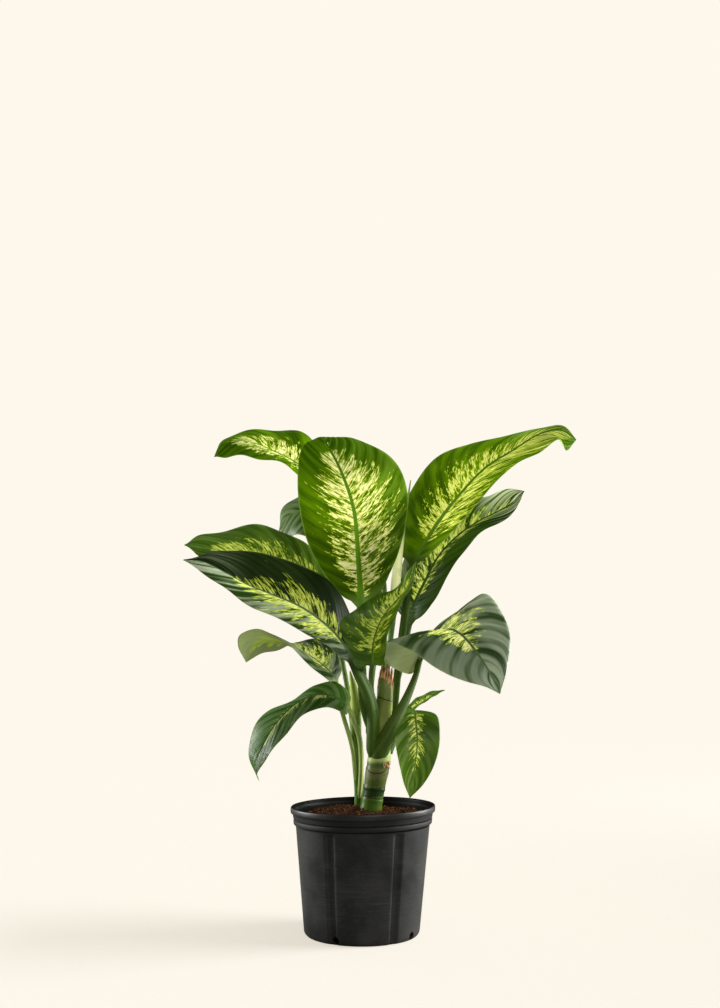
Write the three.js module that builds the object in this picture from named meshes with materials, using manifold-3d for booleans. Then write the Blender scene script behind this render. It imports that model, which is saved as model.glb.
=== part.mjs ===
// Potted dieffenbachia in a thin black nursery pot. Millimetres, +Z up, the photographed side faces -Y.
// The pot's base centre is near the origin and the pot stands on Z = 0.
import * as THREE from 'three';
import Module from 'manifold-3d';

const wasm = await Module();
wasm.setup();

// ---- driving dimensions -------------------------------------------------------------------------
const gap = 0.35;              // clearance kept between neighbouring pieces
const potHeight = 224;
const rimRadius = 127;
const wallTopRadius = 118.2;
const wallFootRadius = 101.5;
const wallThickness = 1.8;
const rimTilt = 0.014;         // the rim is a little higher on the right
const footShift = 2;           // the foot sits a little left of the rim
const grooveCount = 6;
const grooveDepth = 4.4;
const grooveTurn = 1.3;         // degrees, from the pot's own axes
const grooveHalfAngle = 4.2;   // degrees
const grooveTop = 188;
const drainRadius = 7;
const drainHeight = 8.5;
const drainAngles = [-117, -34, 62, 148];
const soilLevel = 204;
const bladeEdge = 0.8;         // thickness at the margin
const bladeMiddle = 1.3;       // thickness beside the midrib
const caneFoot = 172;          // how far the stems reach down into the soil

// ---- small helpers ------------------------------------------------------------------------------
const vec = ([x, y, z]) => new THREE.Vector3(x, y, z);
const mix = (a, b, t) => a + (b - a) * t;
const smooth = (a, b, x) => THREE.MathUtils.smoothstep(x, a, b);
const rad = THREE.MathUtils.degToRad;

function curveThrough(points) {
  const curve = new THREE.CatmullRomCurve3(points.map(vec), false, 'centripetal');
  curve.arcLengthDivisions = 400;
  return curve;
}

// A closed body from rings of equal length, capped with a fan at each end. A thin sheet's rings run over
// the upper face and back under it, and both faces are split into triangles alike.
function loft(rings, sheet = false) {
  const count = rings[0].length;
  const position = [];
  const index = [];
  rings.forEach((ring) => ring.forEach((p) => position.push(p.x, p.y, p.z)));
  for (let i = 0; i + 1 < rings.length; i++) {
    for (let j = 0; j < count; j++) {
      const a = i * count + j;
      const b = i * count + (j + 1) % count;
      if (sheet && j >= count / 2) index.push(a, b, a + count, b, b + count, a + count);
      else index.push(a, b, b + count, a, b + count, a + count);
    }
  }
  [[0, true], [rings.length - 1, false]].forEach(([i, first]) => {
    const middle = new THREE.Vector3();
    rings[i].forEach((p) => middle.add(p));
    middle.divideScalar(count);
    position.push(middle.x, middle.y, middle.z);
    const centre = position.length / 3 - 1;
    for (let j = 0; j < count; j++) {
      const a = i * count + j;
      const b = i * count + (j + 1) % count;
      if (first) index.push(centre, b, a);
      else index.push(centre, a, b);
    }
  });
  return bodyFrom(position, index);
}

function bodyFrom(position, index) {
  const mesh = new wasm.Mesh({
    numProp: 3,
    vertProperties: new Float32Array(position),
    triVerts: new Uint32Array(index),
  });
  return new wasm.Manifold(mesh);
}

function fromGeometry(geometry) {
  const plain = geometry.index ? geometry : null;
  const seen = new Map();
  const position = [];
  const source = geometry.attributes.position;
  const ids = [];
  for (let i = 0; i < source.count; i++) {
    const key = [source.getX(i), source.getY(i), source.getZ(i)].map((v) => v.toFixed(4)).join();
    if (!seen.has(key)) {
      seen.set(key, position.length / 3);
      position.push(source.getX(i), source.getY(i), source.getZ(i));
    }
    ids.push(seen.get(key));
  }
  const corners = plain ? Array.from(plain.index.array) : ids.map((_, i) => i);
  const index = [];
  for (let i = 0; i < corners.length; i += 3) {
    const [a, b, c] = [ids[corners[i]], ids[corners[i + 1]], ids[corners[i + 2]]];
    if (a !== b && b !== c && c !== a) index.push(a, b, c);
  }
  return bodyFrom(position, index);
}

function toGeometry(body) {
  const { vertProperties, triVerts } = body.getMesh();
  const geometry = new THREE.BufferGeometry();
  geometry.setAttribute('position', new THREE.BufferAttribute(new Float32Array(vertProperties), 3));
  geometry.setIndex(Array.from(triVerts));
  geometry.computeVertexNormals();
  return geometry;
}

// ---- leaves -------------------------------------------------------------------------------------
// Each leaf is one skin, from the foot of its stalk to its tip. stalk and rib are one centre line;
// left and right are the margins, seen from the upper face with the tip pointing away. radii are those of
// the stalk at each of its points, and last at the foot of the blade.
const leaves = {
  leaf_tall_centre: {
    stalk: [[24, 30, 336], [9, 27, 372], [1, 21, 412], [-3, 17, 487], [-5, 15, 540]],
    rib: [[-4, 14, 578], [-8, 8, 654], [-16, 4, 741], [-37, 14, 806], [-62, 46, 858], [-78, 86, 885],
      [-87, 122, 879]],
    left: [[-30, 12, 589], [-67, 4, 627], [-101, -4, 696], [-114, 0, 772], [-112, 26, 841], [-101, 64, 873]],
    right: [[20, 18, 589], [58, 8, 654], [79, 8, 749], [71, 26, 806], [38, 52, 851], [-20, 82, 882]],
    radii: [8, 8.5, 8.5, 8, 7.5, 7], wave: 2.2,
  },
  leaf_upper_left: {
    stalk: [[24, 42, 352], [30, 62, 400], [38, 76, 450], [39, 86, 514], [30, 100, 603], [-20, 130, 729]],
    rib: [[-77, 150, 814], [-122, 152, 845], [-165, 150, 869], [-208, 145, 885], [-245, 135, 887],
      [-266, 126, 876], [-276, 118, 854]],
    left: [[-94, 112, 805], [-142, 80, 833], [-190, 72, 844], [-235, 84, 850], [-261, 102, 851]],
    right: [[-79, 200, 872], [-123, 232, 923], [-178, 238, 928], [-225, 220, 922], [-261, 178, 901]],
    radii: [7, 6.5, 6, 5.5, 5.5, 5.2, 5], wave: 2.5,
  },
  leaf_upper_right: {
    stalk: [[47, 38, 339], [56, 46, 397], [62, 48, 456], [70, 48, 523], [81, 46, 603]],
    rib: [[91, 44, 653], [109, 38, 681], [137, 32, 725], [173, 32, 771], [218, 40, 819], [268, 52, 853],
      [320, 64, 886], [358, 74, 895], [389, 82, 879]],
    left: [[71, 62, 665], [64, 92, 725], [87, 112, 790], [140, 126, 855], [200, 128, 882], [264, 118, 891],
      [325, 96, 905], [365, 84, 905]],
    right: [[107, 28, 659], [137, 0, 685], [165, -16, 712], [192, -24, 739], [231, -18, 790], [269, 4, 820],
      [311, 30, 846], [354, 52, 873], [367, 66, 856]],
    radii: [8, 7.5, 7, 7, 6.5, 5.5], wave: 2,
  },
  leaf_mid_right: {
    stalk: [[30, 44, 322], [42, 58, 372], [56, 70, 423], [71, 80, 478]],
    rib: [[86, 86, 549], [97, 82, 585], [115, 77, 623], [135, 74, 661], [165, 74, 696], [206, 80, 727],
      [247, 92, 749], [276, 103, 767], [298, 112, 790]],
    left: [[68, 100, 566], [63, 122, 617], [85, 142, 688], [126, 150, 737], [179, 146, 772], [227, 138, 783],
      [263, 128, 796]],
    right: [[102, 70, 556], [128, 48, 587], [152, 34, 626], [173, 30, 664], [202, 40, 697], [244, 62, 725],
      [278, 86, 750]],
    radii: [7, 7, 7, 6.5, 5.5], wave: 2.5,
  },
  leaf_mid_left: {
    stalk: [[-8, 90, 232], [-11, 88, 280], [-18, 84, 350], [-26, 82, 415], [-38, 86, 480]],
    rib: [[-56, 72, 576], [-104, 92, 626], [-167, 104, 658], [-230, 106, 673], [-285, 100, 682],
      [-327, 88, 688]],
    left: [[-73, 34, 563], [-119, 30, 595], [-180, 34, 626], [-238, 46, 648], [-289, 66, 664]],
    right: [[-53, 112, 616], [-104, 158, 693], [-158, 178, 725], [-201, 184, 735], [-262, 170, 724],
      [-305, 136, 709]],
    radii: [4.5, 5, 5, 5, 4.8, 4.5], wave: 3,
  },
  leaf_front_left: {
    stalk: [[18, 14, 320], [18, 6, 344], [18.5, 0, 376], [11, -5, 414], [-5, -9, 450]],
    rib: [[-21, -12, 481], [-43, -26, 516], [-70, -38, 543], [-108, -48, 569], [-155, -55, 589],
      [-195, -60, 605], [-239, -64, 629], [-271, -66, 644], [-305, -64, 648]],
    left: [[-34, -34, 481], [-62, -66, 503], [-102, -88, 527], [-146, -100, 548], [-196, -104, 574],
      [-238, -96, 602], [-270, -82, 626]],
    right: [[-10, -3, 513], [-23, 1, 562], [-54, 0, 611], [-101, 0, 642], [-159, -8, 659], [-210, -16, 669],
      [-255, -34, 664], [-281, -52, 654]],
    radii: [11.5, 12, 12, 12, 10.5, 7.5], wave: 2.2,
  },
  leaf_back_left: {
    stalk: [[12, 36, 348], [12, 64, 400], [17, 84, 450], [26, 100, 514], [40, 114, 606]],
    rib: [[28, 120, 661], [-5, 136, 711], [-51, 158, 749], [-101, 184, 766], [-141, 205, 757],
      [-163, 216, 728]],
    left: [[9, 98, 648], [-33, 104, 670], [-83, 134, 700], [-127, 178, 716], [-156, 208, 714]],
    right: [[32, 146, 702], [-2, 184, 767], [-54, 215, 807], [-113, 235, 804], [-154, 232, 776]],
    radii: [7, 6, 5.5, 5, 4.8, 4.5], wave: 2.5,
  },
  leaf_front_centre: {
    stalk: [[22, 30, 372], [18, 21, 400], [15, 15, 428], [14.5, 5, 452]],
    rib: [[16, -22, 471], [17, -40, 495], [22, -54, 522], [36, -62, 553], [54, -62, 575], [73, -56, 597],
      [84, -46, 622], [91, -36, 647]],
    left: [[-2, -42, 468], [-22, -60, 493], [-39, -72, 542], [-12, -66, 564], [19, -52, 587], [52, -44, 598],
      [74, -36, 626]],
    right: [[29, -30, 468], [39, -62, 495], [44, -86, 528], [57, -92, 558], [76, -82, 592], [89, -58, 626]],
    radii: [5.5, 5, 4.5, 4.5, 4.2], wave: 1.8,
  },
  leaf_right: {
    stalk: [[28, 20, 312], [33, 13, 328], [42, 6, 346], [53, 2, 368], [66.5, 8, 392], [79, 16, 417], [93.5, 25, 452]],
    rib: [[103, 24, 485], [123, 6, 511], [146, -22, 530], [166, -52, 522], [187, -76, 497], [207, -92, 465],
      [228, -100, 422]],
    left: [[115, 44, 514], [138, 50, 542], [177, 40, 572], [214, 18, 594], [238, -20, 566], [250, -58, 519],
      [242, -86, 465]],
    right: [[87, 30, 455], [44, 20, 471], [28, -6, 494], [41, -34, 509], [76, -66, 497], [120, -92, 466],
      [169, -106, 443], [207, -106, 432]],
    radii: [18, 17, 15, 12.5, 10, 8, 6, 5.5], wave: 1.5,
  },
  leaf_lower_left: {
    stalk: [[-9, 84, 236], [-12, 76, 272], [-20, 64, 325], [-33, 54, 370], [-44, 47, 410]],
    rib: [[-48, 39, 440], [-67, 26, 464], [-95, 18, 485], [-125, 8, 502], [-155, -4, 511], [-186, -14, 504],
      [-203, -16, 474]],
    left: [[-56, 18, 439], [-77, -8, 455], [-104, -26, 481], [-129, -34, 504], [-157, -26, 523],
      [-187, -18, 532], [-215, -14, 520], [-217, -14, 502]],
    right: [[-39, 52, 456], [-45, 72, 487], [-85, 72, 516], [-117, 54, 510], [-147, 28, 497], [-175, 6, 490],
      [-192, -8, 481]],
    radii: [4, 4.5, 4.5, 4.3, 4, 4], wave: 1.2,
  },
  leaf_low_left: {
    stalk: [[-6, 82, 226], [-3, 68, 270], [-3, 55, 315], [-7, 45, 343], [-16, 34, 370]],
    rib: [[-26, 24, 391], [-51, 8, 413], [-83, -10, 417], [-116, -26, 402], [-148, -38, 370],
      [-171, -42, 331], [-185, -40, 296], [-179, -36, 270]],
    left: [[-30, 4, 383], [-64, -26, 397], [-101, -48, 384], [-132, -60, 351], [-160, -58, 316],
      [-181, -46, 283]],
    right: [[-23, 26, 413], [-48, 18, 440], [-83, 20, 433], [-121, 8, 409], [-163, -2, 390],
      [-190, -12, 360], [-197, -26, 315]],
    radii: [5, 5, 5, 5, 5, 4.6], wave: 1.5,
  },
  leaf_low_right: {
    stalk: [[46, 34, 313], [58, 44, 340], [70, 52, 364], [79, 52, 382]],
    rib: [[84, 46, 386], [91, 26, 386], [93, 8, 369], [95, -4, 333], [89, -8, 283], [82, -6, 237]],
    left: [[109, 44, 385], [131, 24, 380], [135, 4, 352], [129, -6, 307], [107, -8, 263]],
    right: [[70, 44, 385], [62, 22, 375], [56, 4, 343], [63, -4, 298], [72, -6, 261]],
    radii: [7, 6, 5, 4.2, 4], wave: 1.5,
  },
  leaf_edge_right: {
    stalk: [[40, 44, 316], [55, 64, 340], [68, 72, 362]],
    rib: [[78, 74, 378], [95, 84, 392], [121, 100, 408], [152, 116, 422]],
    left: [[84, 96, 395], [108, 128, 411], [134, 134, 420]],
    right: [[86, 60, 383], [107, 70, 398], [132, 92, 412]],
    radii: [5, 4.5, 4, 3.5], wave: 1,
  },
};

const camber = 0.05;           // rise of each half blade over its width
const veinSweep = 0.8;         // below 1 the side veins sweep towards the tip
const bladeStations = [0.02, 0.05, 0.1, 0.17, 0.25, 0.34, 0.43, 0.52, 0.61, 0.7, 0.78, 0.86, 0.93, 0.975, 1];
const bladeColumns = [-1, -0.56, -0.16, 0, 0.16, 0.56, 1];

function leafSurface(leaf) {
  const line = curveThrough([...leaf.stalk, ...leaf.rib]);
  const joint = leaf.stalk.length / (leaf.stalk.length + leaf.rib.length - 1);
  const lengths = line.getLengths();
  const start = lengths[Math.round(joint * (lengths.length - 1))] / lengths[lengths.length - 1];
  const ribAt = (u) => line.getPointAt(start + (1 - start) * u);
  const ends = [leaf.rib[0], leaf.rib[leaf.rib.length - 1]];
  const left = curveThrough([ends[0], ...leaf.left, ends[1]]);
  const right = curveThrough([ends[0], ...leaf.right, ends[1]]);
  const tangentAt = (u) => ribAt(Math.min(1, u + 0.02)).sub(ribAt(Math.max(0, u - 0.02))).normalize();
  const sideAt = (u) => {
    const v = Math.min(0.93, Math.max(0.08, u));
    const across = right.getPointAt(v ** veinSweep).sub(left.getPointAt(v ** veinSweep));
    const along = tangentAt(u);
    return across.addScaledVector(along, -across.dot(along)).normalize();
  };
  // The point at u along the blade and s across it, with the unit normal of the upper face.
  const at = (u, s) => {
    const centre = ribAt(u);
    const side = sideAt(u);
    const along = tangentAt(u);
    const margin = s < 0 ? left : right;
    const reach = margin.getPointAt(u ** veinSweep).sub(centre);
    const width = reach.length();
    const normal = new THREE.Vector3().crossVectors(side, along);
    const half = new THREE.Vector3().crossVectors(reach, along).multiplyScalar(s < 0 ? -1 : 1);
    if (width > 1 && half.length() > 0.2 * width) normal.lerp(half.normalize(), Math.min(1, width / 12));
    normal.normalize();
    const a = Math.abs(s);
    const ripple = leaf.wave * a * a * Math.min(1, width / 25)
      * Math.sin(Math.PI * 2 * (3.3 * u + (s < 0 ? 0 : 0.4)));
    const point = centre.clone().addScaledVector(reach, a)
      .addScaledVector(normal, camber * width * 4 * a * (1 - a) + ripple);
    return { point, normal, side, width };
  };
  return { line, joint, at, sideAt };
}

// Ring around the stalk: an even ring of 2 x columns points, upper row left to right, then back below.
function stalkRing(centre, side, along, radius) {
  const normal = new THREE.Vector3().crossVectors(side, along).normalize();
  const count = bladeColumns.length;
  const ring = [];
  for (let j = 0; j < 2 * count; j++) {
    const angle = Math.PI - (j + 0.5) * Math.PI / count;
    ring.push(centre.clone().addScaledVector(side, radius * Math.cos(angle))
      .addScaledVector(normal, radius * (Math.sin(angle) > 0 ? 0.85 : 1) * Math.sin(angle)));
  }
  return ring;
}

function stalkRadiusAt(leaf, t) {
  const place = t * (leaf.radii.length - 1);
  const i = Math.min(leaf.radii.length - 2, Math.floor(place));
  return mix(leaf.radii[i], leaf.radii[i + 1], place - i);
}

function stalkRings(leaf, surface, extra, stations) {
  const { line, joint, sideAt } = surface;
  const rings = [];
  let side = sideAt(0);
  for (let i = stations; i >= 0; i--) {
    const t = i / stations;
    const centre = line.getPoint(t * joint);
    const along = line.getTangent(t * joint);
    side = side.clone().addScaledVector(along, -side.dot(along)).normalize();
    if (i === 0) centre.addScaledVector(along, -extra * 2);
    rings.unshift(stalkRing(centre, side, along, stalkRadiusAt(leaf, t) + extra));
  }
  return rings;
}

function bladeRing(leaf, surface, u) {
  const { at } = surface;
  const root = Math.max(0, 1 - u / 0.1);
  const stalkRadius = stalkRadiusAt(leaf, 1);
  const ribHeight = mix(stalkRadius * 1.15, 0.4, Math.min(1, u * 1.15) ** 0.7);
  const ribWidth = mix(stalkRadius, 1.2, Math.min(1, u * 1.1));
  const upper = [];
  const lower = [];
  bladeColumns.forEach((column) => {
    const { width } = at(u, column || 1e-6);
    const s = Math.abs(column) === 0.16 ? Math.sign(column) * Math.min(0.3, Math.max(0.03, ribWidth / width))
      : column;
    const { point, normal, side } = at(u, s || 1e-6);
    const across = Math.abs(s) * width;
    const rise = Math.exp(-((across / ribWidth) ** 2));
    const spread = column * (stalkRadius * root * 0.9 + 0.5 * (1 - Math.min(1, width / 6)));
    point.addScaledVector(side, spread);
    const thick = mix(bladeMiddle, bladeEdge, Math.abs(s)) / 2;
    upper.push(point.clone().addScaledVector(normal, thick + 0.7 * stalkRadius * root * rise));
    lower.push(point.clone().addScaledVector(normal, -thick - ribHeight * rise * (column ? 0.75 : 1)));
  });
  return [...upper, ...lower.reverse()];
}

function leafBody(leaf, surface) {
  const rings = stalkRings(leaf, surface, 0, leaf.stalk.length + 2);
  bladeStations.forEach((u) => rings.push(bladeRing(leaf, surface, u)));
  return loft(rings, true);
}

// ---- stems --------------------------------------------------------------------------------------
// A round stem through [x, y, z, radius] stations, a ring at each.
function stemBody(stations, sides, extra = 0) {
  const curve = curveThrough(stations.map((s) => s.slice(0, 3)));
  let side = new THREE.Vector3(1, 0, 0);
  const rings = stations.map((station, i) => {
    const t = i / (stations.length - 1);
    const along = curve.getTangent(t);
    side = side.clone().addScaledVector(along, -side.dot(along)).normalize();
    const normal = new THREE.Vector3().crossVectors(along, side);
    const ring = [];
    for (let j = 0; j < sides; j++) {
      const angle = Math.PI * 2 * j / sides;
      ring.push(vec(station).addScaledVector(side, (station[3] + extra) * Math.cos(angle))
        .addScaledVector(normal, (station[3] + extra) * Math.sin(angle)));
    }
    return ring;
  });
  rings[0].forEach((p) => { p.z -= 2 * extra; });
  return loft(rings);
}

// The cane with its ring scars, and above the live sheaths the drying stub of an old one.
const mainCane = [
  [8, 24, caneFoot, 17], [12, 24, 200, 19], [14.5, 24, 215, 19.4], [15.8, 24, 224, 18.8], [17, 24, 231, 19.2],
  [18, 24, 236, 18.4], [19.3, 24, 246, 18.6], [20, 24, 251, 19.8], [20.8, 24, 256, 19], [23, 24, 270, 20],
  [25.4, 24, 282, 21], [26.6, 24, 288, 20.2], [28, 24, 297, 20.8], [29.6, 24, 312, 20], [30.6, 24, 327, 17.6],
  [34, 25, 354, 13.6], [38.4, 26, 380, 12.6], [39.3, 26, 408, 14.3], [39.5, 27, 430, 14], [39.7, 28, 446, 11.6],
  [40.2, 28, 456, 8.4], [40.6, 28, 464, 6],
];
// The second, younger shoot beside it, closing to a pointed sheath.
const leftShoot = [
  [-8, 86, caneFoot, 8], [-8.4, 86, 212, 7.4], [-8, 85, 237, 7.4], [-9, 82, 265, 8.4], [-11, 77, 300, 9.4],
  [-12.4, 71, 340, 10], [-13, 66, 372, 10.2], [-13.8, 62, 405, 9.4], [-17, 59, 430, 6.8], [-21, 57, 448, 3.4],
  [-23.4, 56, 458, 1.2],
];
// The newest leaf, still rolled into a spear.
const rolledLeaf = [
  [39, 37, 398, 3.5], [42, 43, 425, 3.5], [46, 52, 480, 4], [51, 54, 530, 5.5], [56, 52, 585, 8], [60, 50, 625, 8.5],
  [66, 50, 680, 7], [73, 52, 725, 4.5], [80, 54, 765, 2.6], [86, 55, 801, 1],
];

// ---- pot ----------------------------------------------------------------------------------------
function warp(x, y, z) {
  const lift = z / potHeight;
  return new THREE.Vector3(x - footShift * (1 - lift), y, z + rimTilt * x * lift * lift);
}

// Radius and height pairs, from the middle of the underside round the rim to the middle of the floor.
const wallRadius = (z) => mix(wallFootRadius, wallTopRadius, (z - 8) / (203 - 8));
const outerProfile = [
  [60, 0], [63, 2], [84, 2], [87, 0], [95, 0], [99.5, 2.6], [wallRadius(8), 8],
  [wallRadius(grooveTop), grooveTop], [wallRadius(191), 191], [120.4, 196], [121.5, 207.8],
  [124.6, 209], [126.4, 217], [rimRadius, 221.4], [rimRadius - 1.4, potHeight],
];
const innerProfile = [
  [rimRadius - 4.6, potHeight - 0.2], [rimRadius - 5, 219], [122, 210], [119, 206],
  [118, 197], [wallRadius(191) - wallThickness, 191], [wallRadius(grooveTop) - wallThickness, grooveTop],
  [wallRadius(9) - wallThickness, 9], [95, 4.2], [86, 2.2], [84, 4.2],
  [63, 4.2], [60, 2.2],
];
const sectorAngles = [-grooveHalfAngle, -grooveHalfAngle + 1.2, grooveHalfAngle - 1.2, grooveHalfAngle, 14.5, 25,
  35, 45.5];
const potAngles = [];
for (let k = 0; k < grooveCount; k++) {
  sectorAngles.forEach((a) => potAngles.push(k * 360 / grooveCount + grooveTurn + a));
}

// How far the wall is pressed in at this angle and height.
function groove(angle, z, margin) {
  const sector = 360 / grooveCount;
  const off = Math.abs(((angle - grooveTurn + sector / 2 + 360) % sector) - sector / 2);
  if (z > grooveTop + 0.1 || z < 4) return 0;
  return grooveDepth * (1 - smooth(grooveHalfAngle - 1.2 + margin, grooveHalfAngle + margin, off));
}

function potPoint(radius, z, angle, margin = 0) {
  const r = radius - groove(angle, z, margin);
  return warp(r * Math.cos(rad(angle)), r * Math.sin(rad(angle)), z);
}

function potBody() {
  const rings = [...outerProfile, ...innerProfile]
    .map(([radius, z]) => potAngles.map((angle) => potPoint(radius, z, angle)));
  let body = loft(rings);
  drainAngles.forEach((angle) => {
    const hole = new THREE.CylinderGeometry(drainRadius, drainRadius, 24, 14);
    hole.rotateZ(-Math.PI / 2);
    hole.rotateX(Math.PI / 14);
    hole.translate(100, 0, drainHeight);
    hole.rotateZ(rad(angle));
    body = body.subtract(fromGeometry(hole));
  });
  return body;
}

// ---- soil ---------------------------------------------------------------------------------------
function soilHeight(x, y) {
  const mound = 11.5 * Math.exp(-((x + 12) ** 2 / 6400 + (y - 40) ** 2 / 5200));
  const right = 5 * Math.exp(-((x - 84) ** 2 + (y - 28) ** 2) / 900);
  const left = -4 * smooth(-60, -115, x);
  const lumps = 1.3 * Math.sin(x * 0.11 + 1) * Math.cos(y * 0.13) + 0.9 * Math.sin(x * 0.23 + y * 0.19);
  return soilLevel + mound + right + left + lumps;
}

function soilBody() {
  const inside = (z) => wallRadius(z) - wallThickness - gap - 0.15;
  const side = [[92, 5], [inside(12), 12], [inside(grooveTop), grooveTop], [inside(192), 192]];
  const rings = side.map(([radius, z]) => potAngles.map((angle) => potPoint(radius, z, angle, 1.3)));
  [1, 0.86, 0.7, 0.54, 0.38, 0.22, 0.1].forEach((share) => {
    rings.push(potAngles.map((angle) => {
      const flat = potPoint(inside(grooveTop) * share - grooveDepth * (1 - share), grooveTop + 5, angle);
      return new THREE.Vector3(flat.x, flat.y, soilHeight(flat.x, flat.y));
    }));
  });
  return loft(rings);
}

// ---- assembly -----------------------------------------------------------------------------------
const colour = (hex, roughness) => new THREE.MeshStandardMaterial({ color: hex, roughness, metalness: 0 });
const blackPlastic = colour(0x2b2c2b, 0.5);
const darkSoil = colour(0x4a2c1c, 0.95);
const caneGreen = colour(0x7d9a45, 0.45);
const shootGreen = colour(0x6f9a48, 0.45);
const spearGreen = colour(0xc3d08a, 0.45);
const leafShades = {
  leaf_tall_centre: 0x7fae2c, leaf_upper_left: 0x6b9a34, leaf_upper_right: 0x6a9c2a, leaf_mid_right: 0x4b7a2b,
  leaf_mid_left: 0x587f33, leaf_front_left: 0x46692f, leaf_back_left: 0x66804f, leaf_front_centre: 0x3f7425,
  leaf_right: 0x5b7452, leaf_lower_left: 0x5f7a45, leaf_low_left: 0x45693b, leaf_low_right: 0x4d7531,
  leaf_edge_right: 0x6f9a48,
};

const plant = new THREE.Group();
plant.name = 'potted_dieffenbachia';
function place(name, body, material) {
  const mesh = new THREE.Mesh(toGeometry(body), material);
  mesh.name = name;
  plant.add(mesh);
}

const pieces = Object.entries(leaves).map(([name, leaf]) => ({ name, leaf, surface: leafSurface(leaf) }));
const stalkCutter = ({ leaf, surface }) => loft(stalkRings(leaf, surface, gap, leaf.stalk.length + 2));

place('pot', potBody(), blackPlastic);
place('soil', soilBody().subtract(stemBody(mainCane, 14, gap)).subtract(stemBody(leftShoot, 10, gap)), darkSoil);
place('main_cane', stemBody(mainCane, 14), caneGreen);
place('left_shoot', stemBody(leftShoot, 10), shootGreen);

// Stalk feet clasp the stems and nest behind the stalks in front of them.
const cutters = [stemBody(mainCane, 14, gap), stemBody(leftShoot, 10, gap)];
['leaf_right', 'leaf_front_left', 'leaf_front_centre', 'leaf_tall_centre', 'leaf_upper_right',
  'leaf_mid_right', 'leaf_upper_left', 'leaf_back_left', 'leaf_low_right', 'leaf_edge_right',
  'leaf_low_left', 'leaf_lower_left', 'leaf_mid_left'].forEach((name) => {
  const piece = pieces.find((p) => p.name === name);
  let body = leafBody(piece.leaf, piece.surface);
  cutters.forEach((cutter) => { body = body.subtract(cutter); });
  place(name, body, colour(leafShades[name], 0.4));
  cutters.push(stalkCutter(piece));
});
let spear = stemBody(rolledLeaf, 10);
cutters.forEach((cutter) => { spear = spear.subtract(cutter); });
place('new_rolled_leaf', spear, spearGreen);

export default plant;
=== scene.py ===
import math

import bpy
import numpy as np
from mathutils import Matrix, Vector


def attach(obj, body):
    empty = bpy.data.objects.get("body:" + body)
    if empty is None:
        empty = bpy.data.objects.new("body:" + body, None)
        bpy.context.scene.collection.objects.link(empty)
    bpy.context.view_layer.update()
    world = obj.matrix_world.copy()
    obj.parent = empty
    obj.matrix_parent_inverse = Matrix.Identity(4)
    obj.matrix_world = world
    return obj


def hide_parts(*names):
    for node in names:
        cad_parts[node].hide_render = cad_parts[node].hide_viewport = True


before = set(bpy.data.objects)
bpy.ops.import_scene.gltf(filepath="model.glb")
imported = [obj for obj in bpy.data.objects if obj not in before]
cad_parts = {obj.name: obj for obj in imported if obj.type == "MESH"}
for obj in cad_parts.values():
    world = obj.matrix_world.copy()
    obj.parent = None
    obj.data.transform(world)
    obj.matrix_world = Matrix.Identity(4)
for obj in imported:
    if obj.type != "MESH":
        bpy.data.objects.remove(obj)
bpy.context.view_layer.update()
print("frame loaded:", len(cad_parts), "nodes")


class Wire:
    # An output socket that takes plain arithmetic: each sign adds a Math node to the socket's own tree.
    def __init__(self, socket):
        self.socket = socket
        self.tree = socket.id_data

    def __add__(self, other):
        return maths("ADD", self, other)

    def __sub__(self, other):
        return maths("SUBTRACT", self, other)

    def __rsub__(self, other):
        return maths("SUBTRACT", other, self)

    def __mul__(self, other):
        return maths("MULTIPLY", self, other)

    def __truediv__(self, other):
        return maths("DIVIDE", self, other)


def treeOf(*values):
    return next(value.tree for value in values if isinstance(value, Wire))


def wiresOf(outputs):
    # By number and by name.
    wires = {k: Wire(socket) for k, socket in enumerate(outputs)}
    return {**wires, **{socket.name: wires[k] for k, socket in enumerate(outputs)}}


def setInput(socket, value):
    if isinstance(value, Wire):
        value.tree.links.new(value.socket, socket)
    elif isinstance(value, tuple) and socket.type == "RGBA" and len(value) == 3:
        socket.default_value = (*value, 1)
    else:
        socket.default_value = value


def setInputs(node, inputs):
    for key, value in inputs.items():
        setInput(node.inputs[key], value)


def addNode(tree, kind, inputs=None, **settings):
    node = tree.nodes.new(kind)
    for key, value in settings.items():
        setattr(node, key, value)
    setInputs(node, inputs or {})
    return wiresOf(node.outputs)


def maths(operation, *values, clamp=False):
    inputs = dict(enumerate(values))
    return addNode(treeOf(*values), "ShaderNodeMath", inputs, operation=operation, use_clamp=clamp)[0]


def vectorMaths(operation, a, b, output=0):
    return addNode(treeOf(a, b), "ShaderNodeVectorMath", {0: a, 1: b}, operation=operation)[output]


def scaled(vector, factor):
    inputs = {0: vector, "Scale": factor}
    return addNode(treeOf(vector, factor), "ShaderNodeVectorMath", inputs, operation="SCALE")[0]


def joinXyz(x, y, z):
    return addNode(treeOf(x, y, z), "ShaderNodeCombineXYZ", {0: x, 1: y, 2: z})[0]


def splitXyz(vector):
    parts = addNode(vector.tree, "ShaderNodeSeparateXYZ", {0: vector})
    return parts[0], parts[1], parts[2]


def ease(value, low, high, start=0.0, end=1.0):
    inputs = {0: value, 1: low, 2: high, 3: start, 4: end}
    return addNode(value.tree, "ShaderNodeMapRange", inputs, interpolation_type="SMOOTHSTEP")[0]


def blend(factor, a, b, mode="MIX"):
    inputs = {0: factor, 6: a, 7: b}
    return addNode(treeOf(factor, a, b), "ShaderNodeMix", inputs, data_type="RGBA", blend_type=mode)[2]


def noise(place, scale, detail=2.0, rough=0.5, distortion=0.0):
    # A scale of three numbers stretches the noise.
    if isinstance(scale, tuple):
        place, scale = vectorMaths("MULTIPLY", place, scale), 1.0
    return addNode(place.tree, "ShaderNodeTexNoise", {"Vector": place, "Scale": scale, "Detail": detail,
                                                      "Roughness": rough, "Distortion": distortion})["Fac"]


def bump(height, strength, distance):
    inputs = {"Height": height, "Strength": strength, "Distance": distance}
    return addNode(height.tree, "ShaderNodeBump", inputs)[0]


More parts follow.
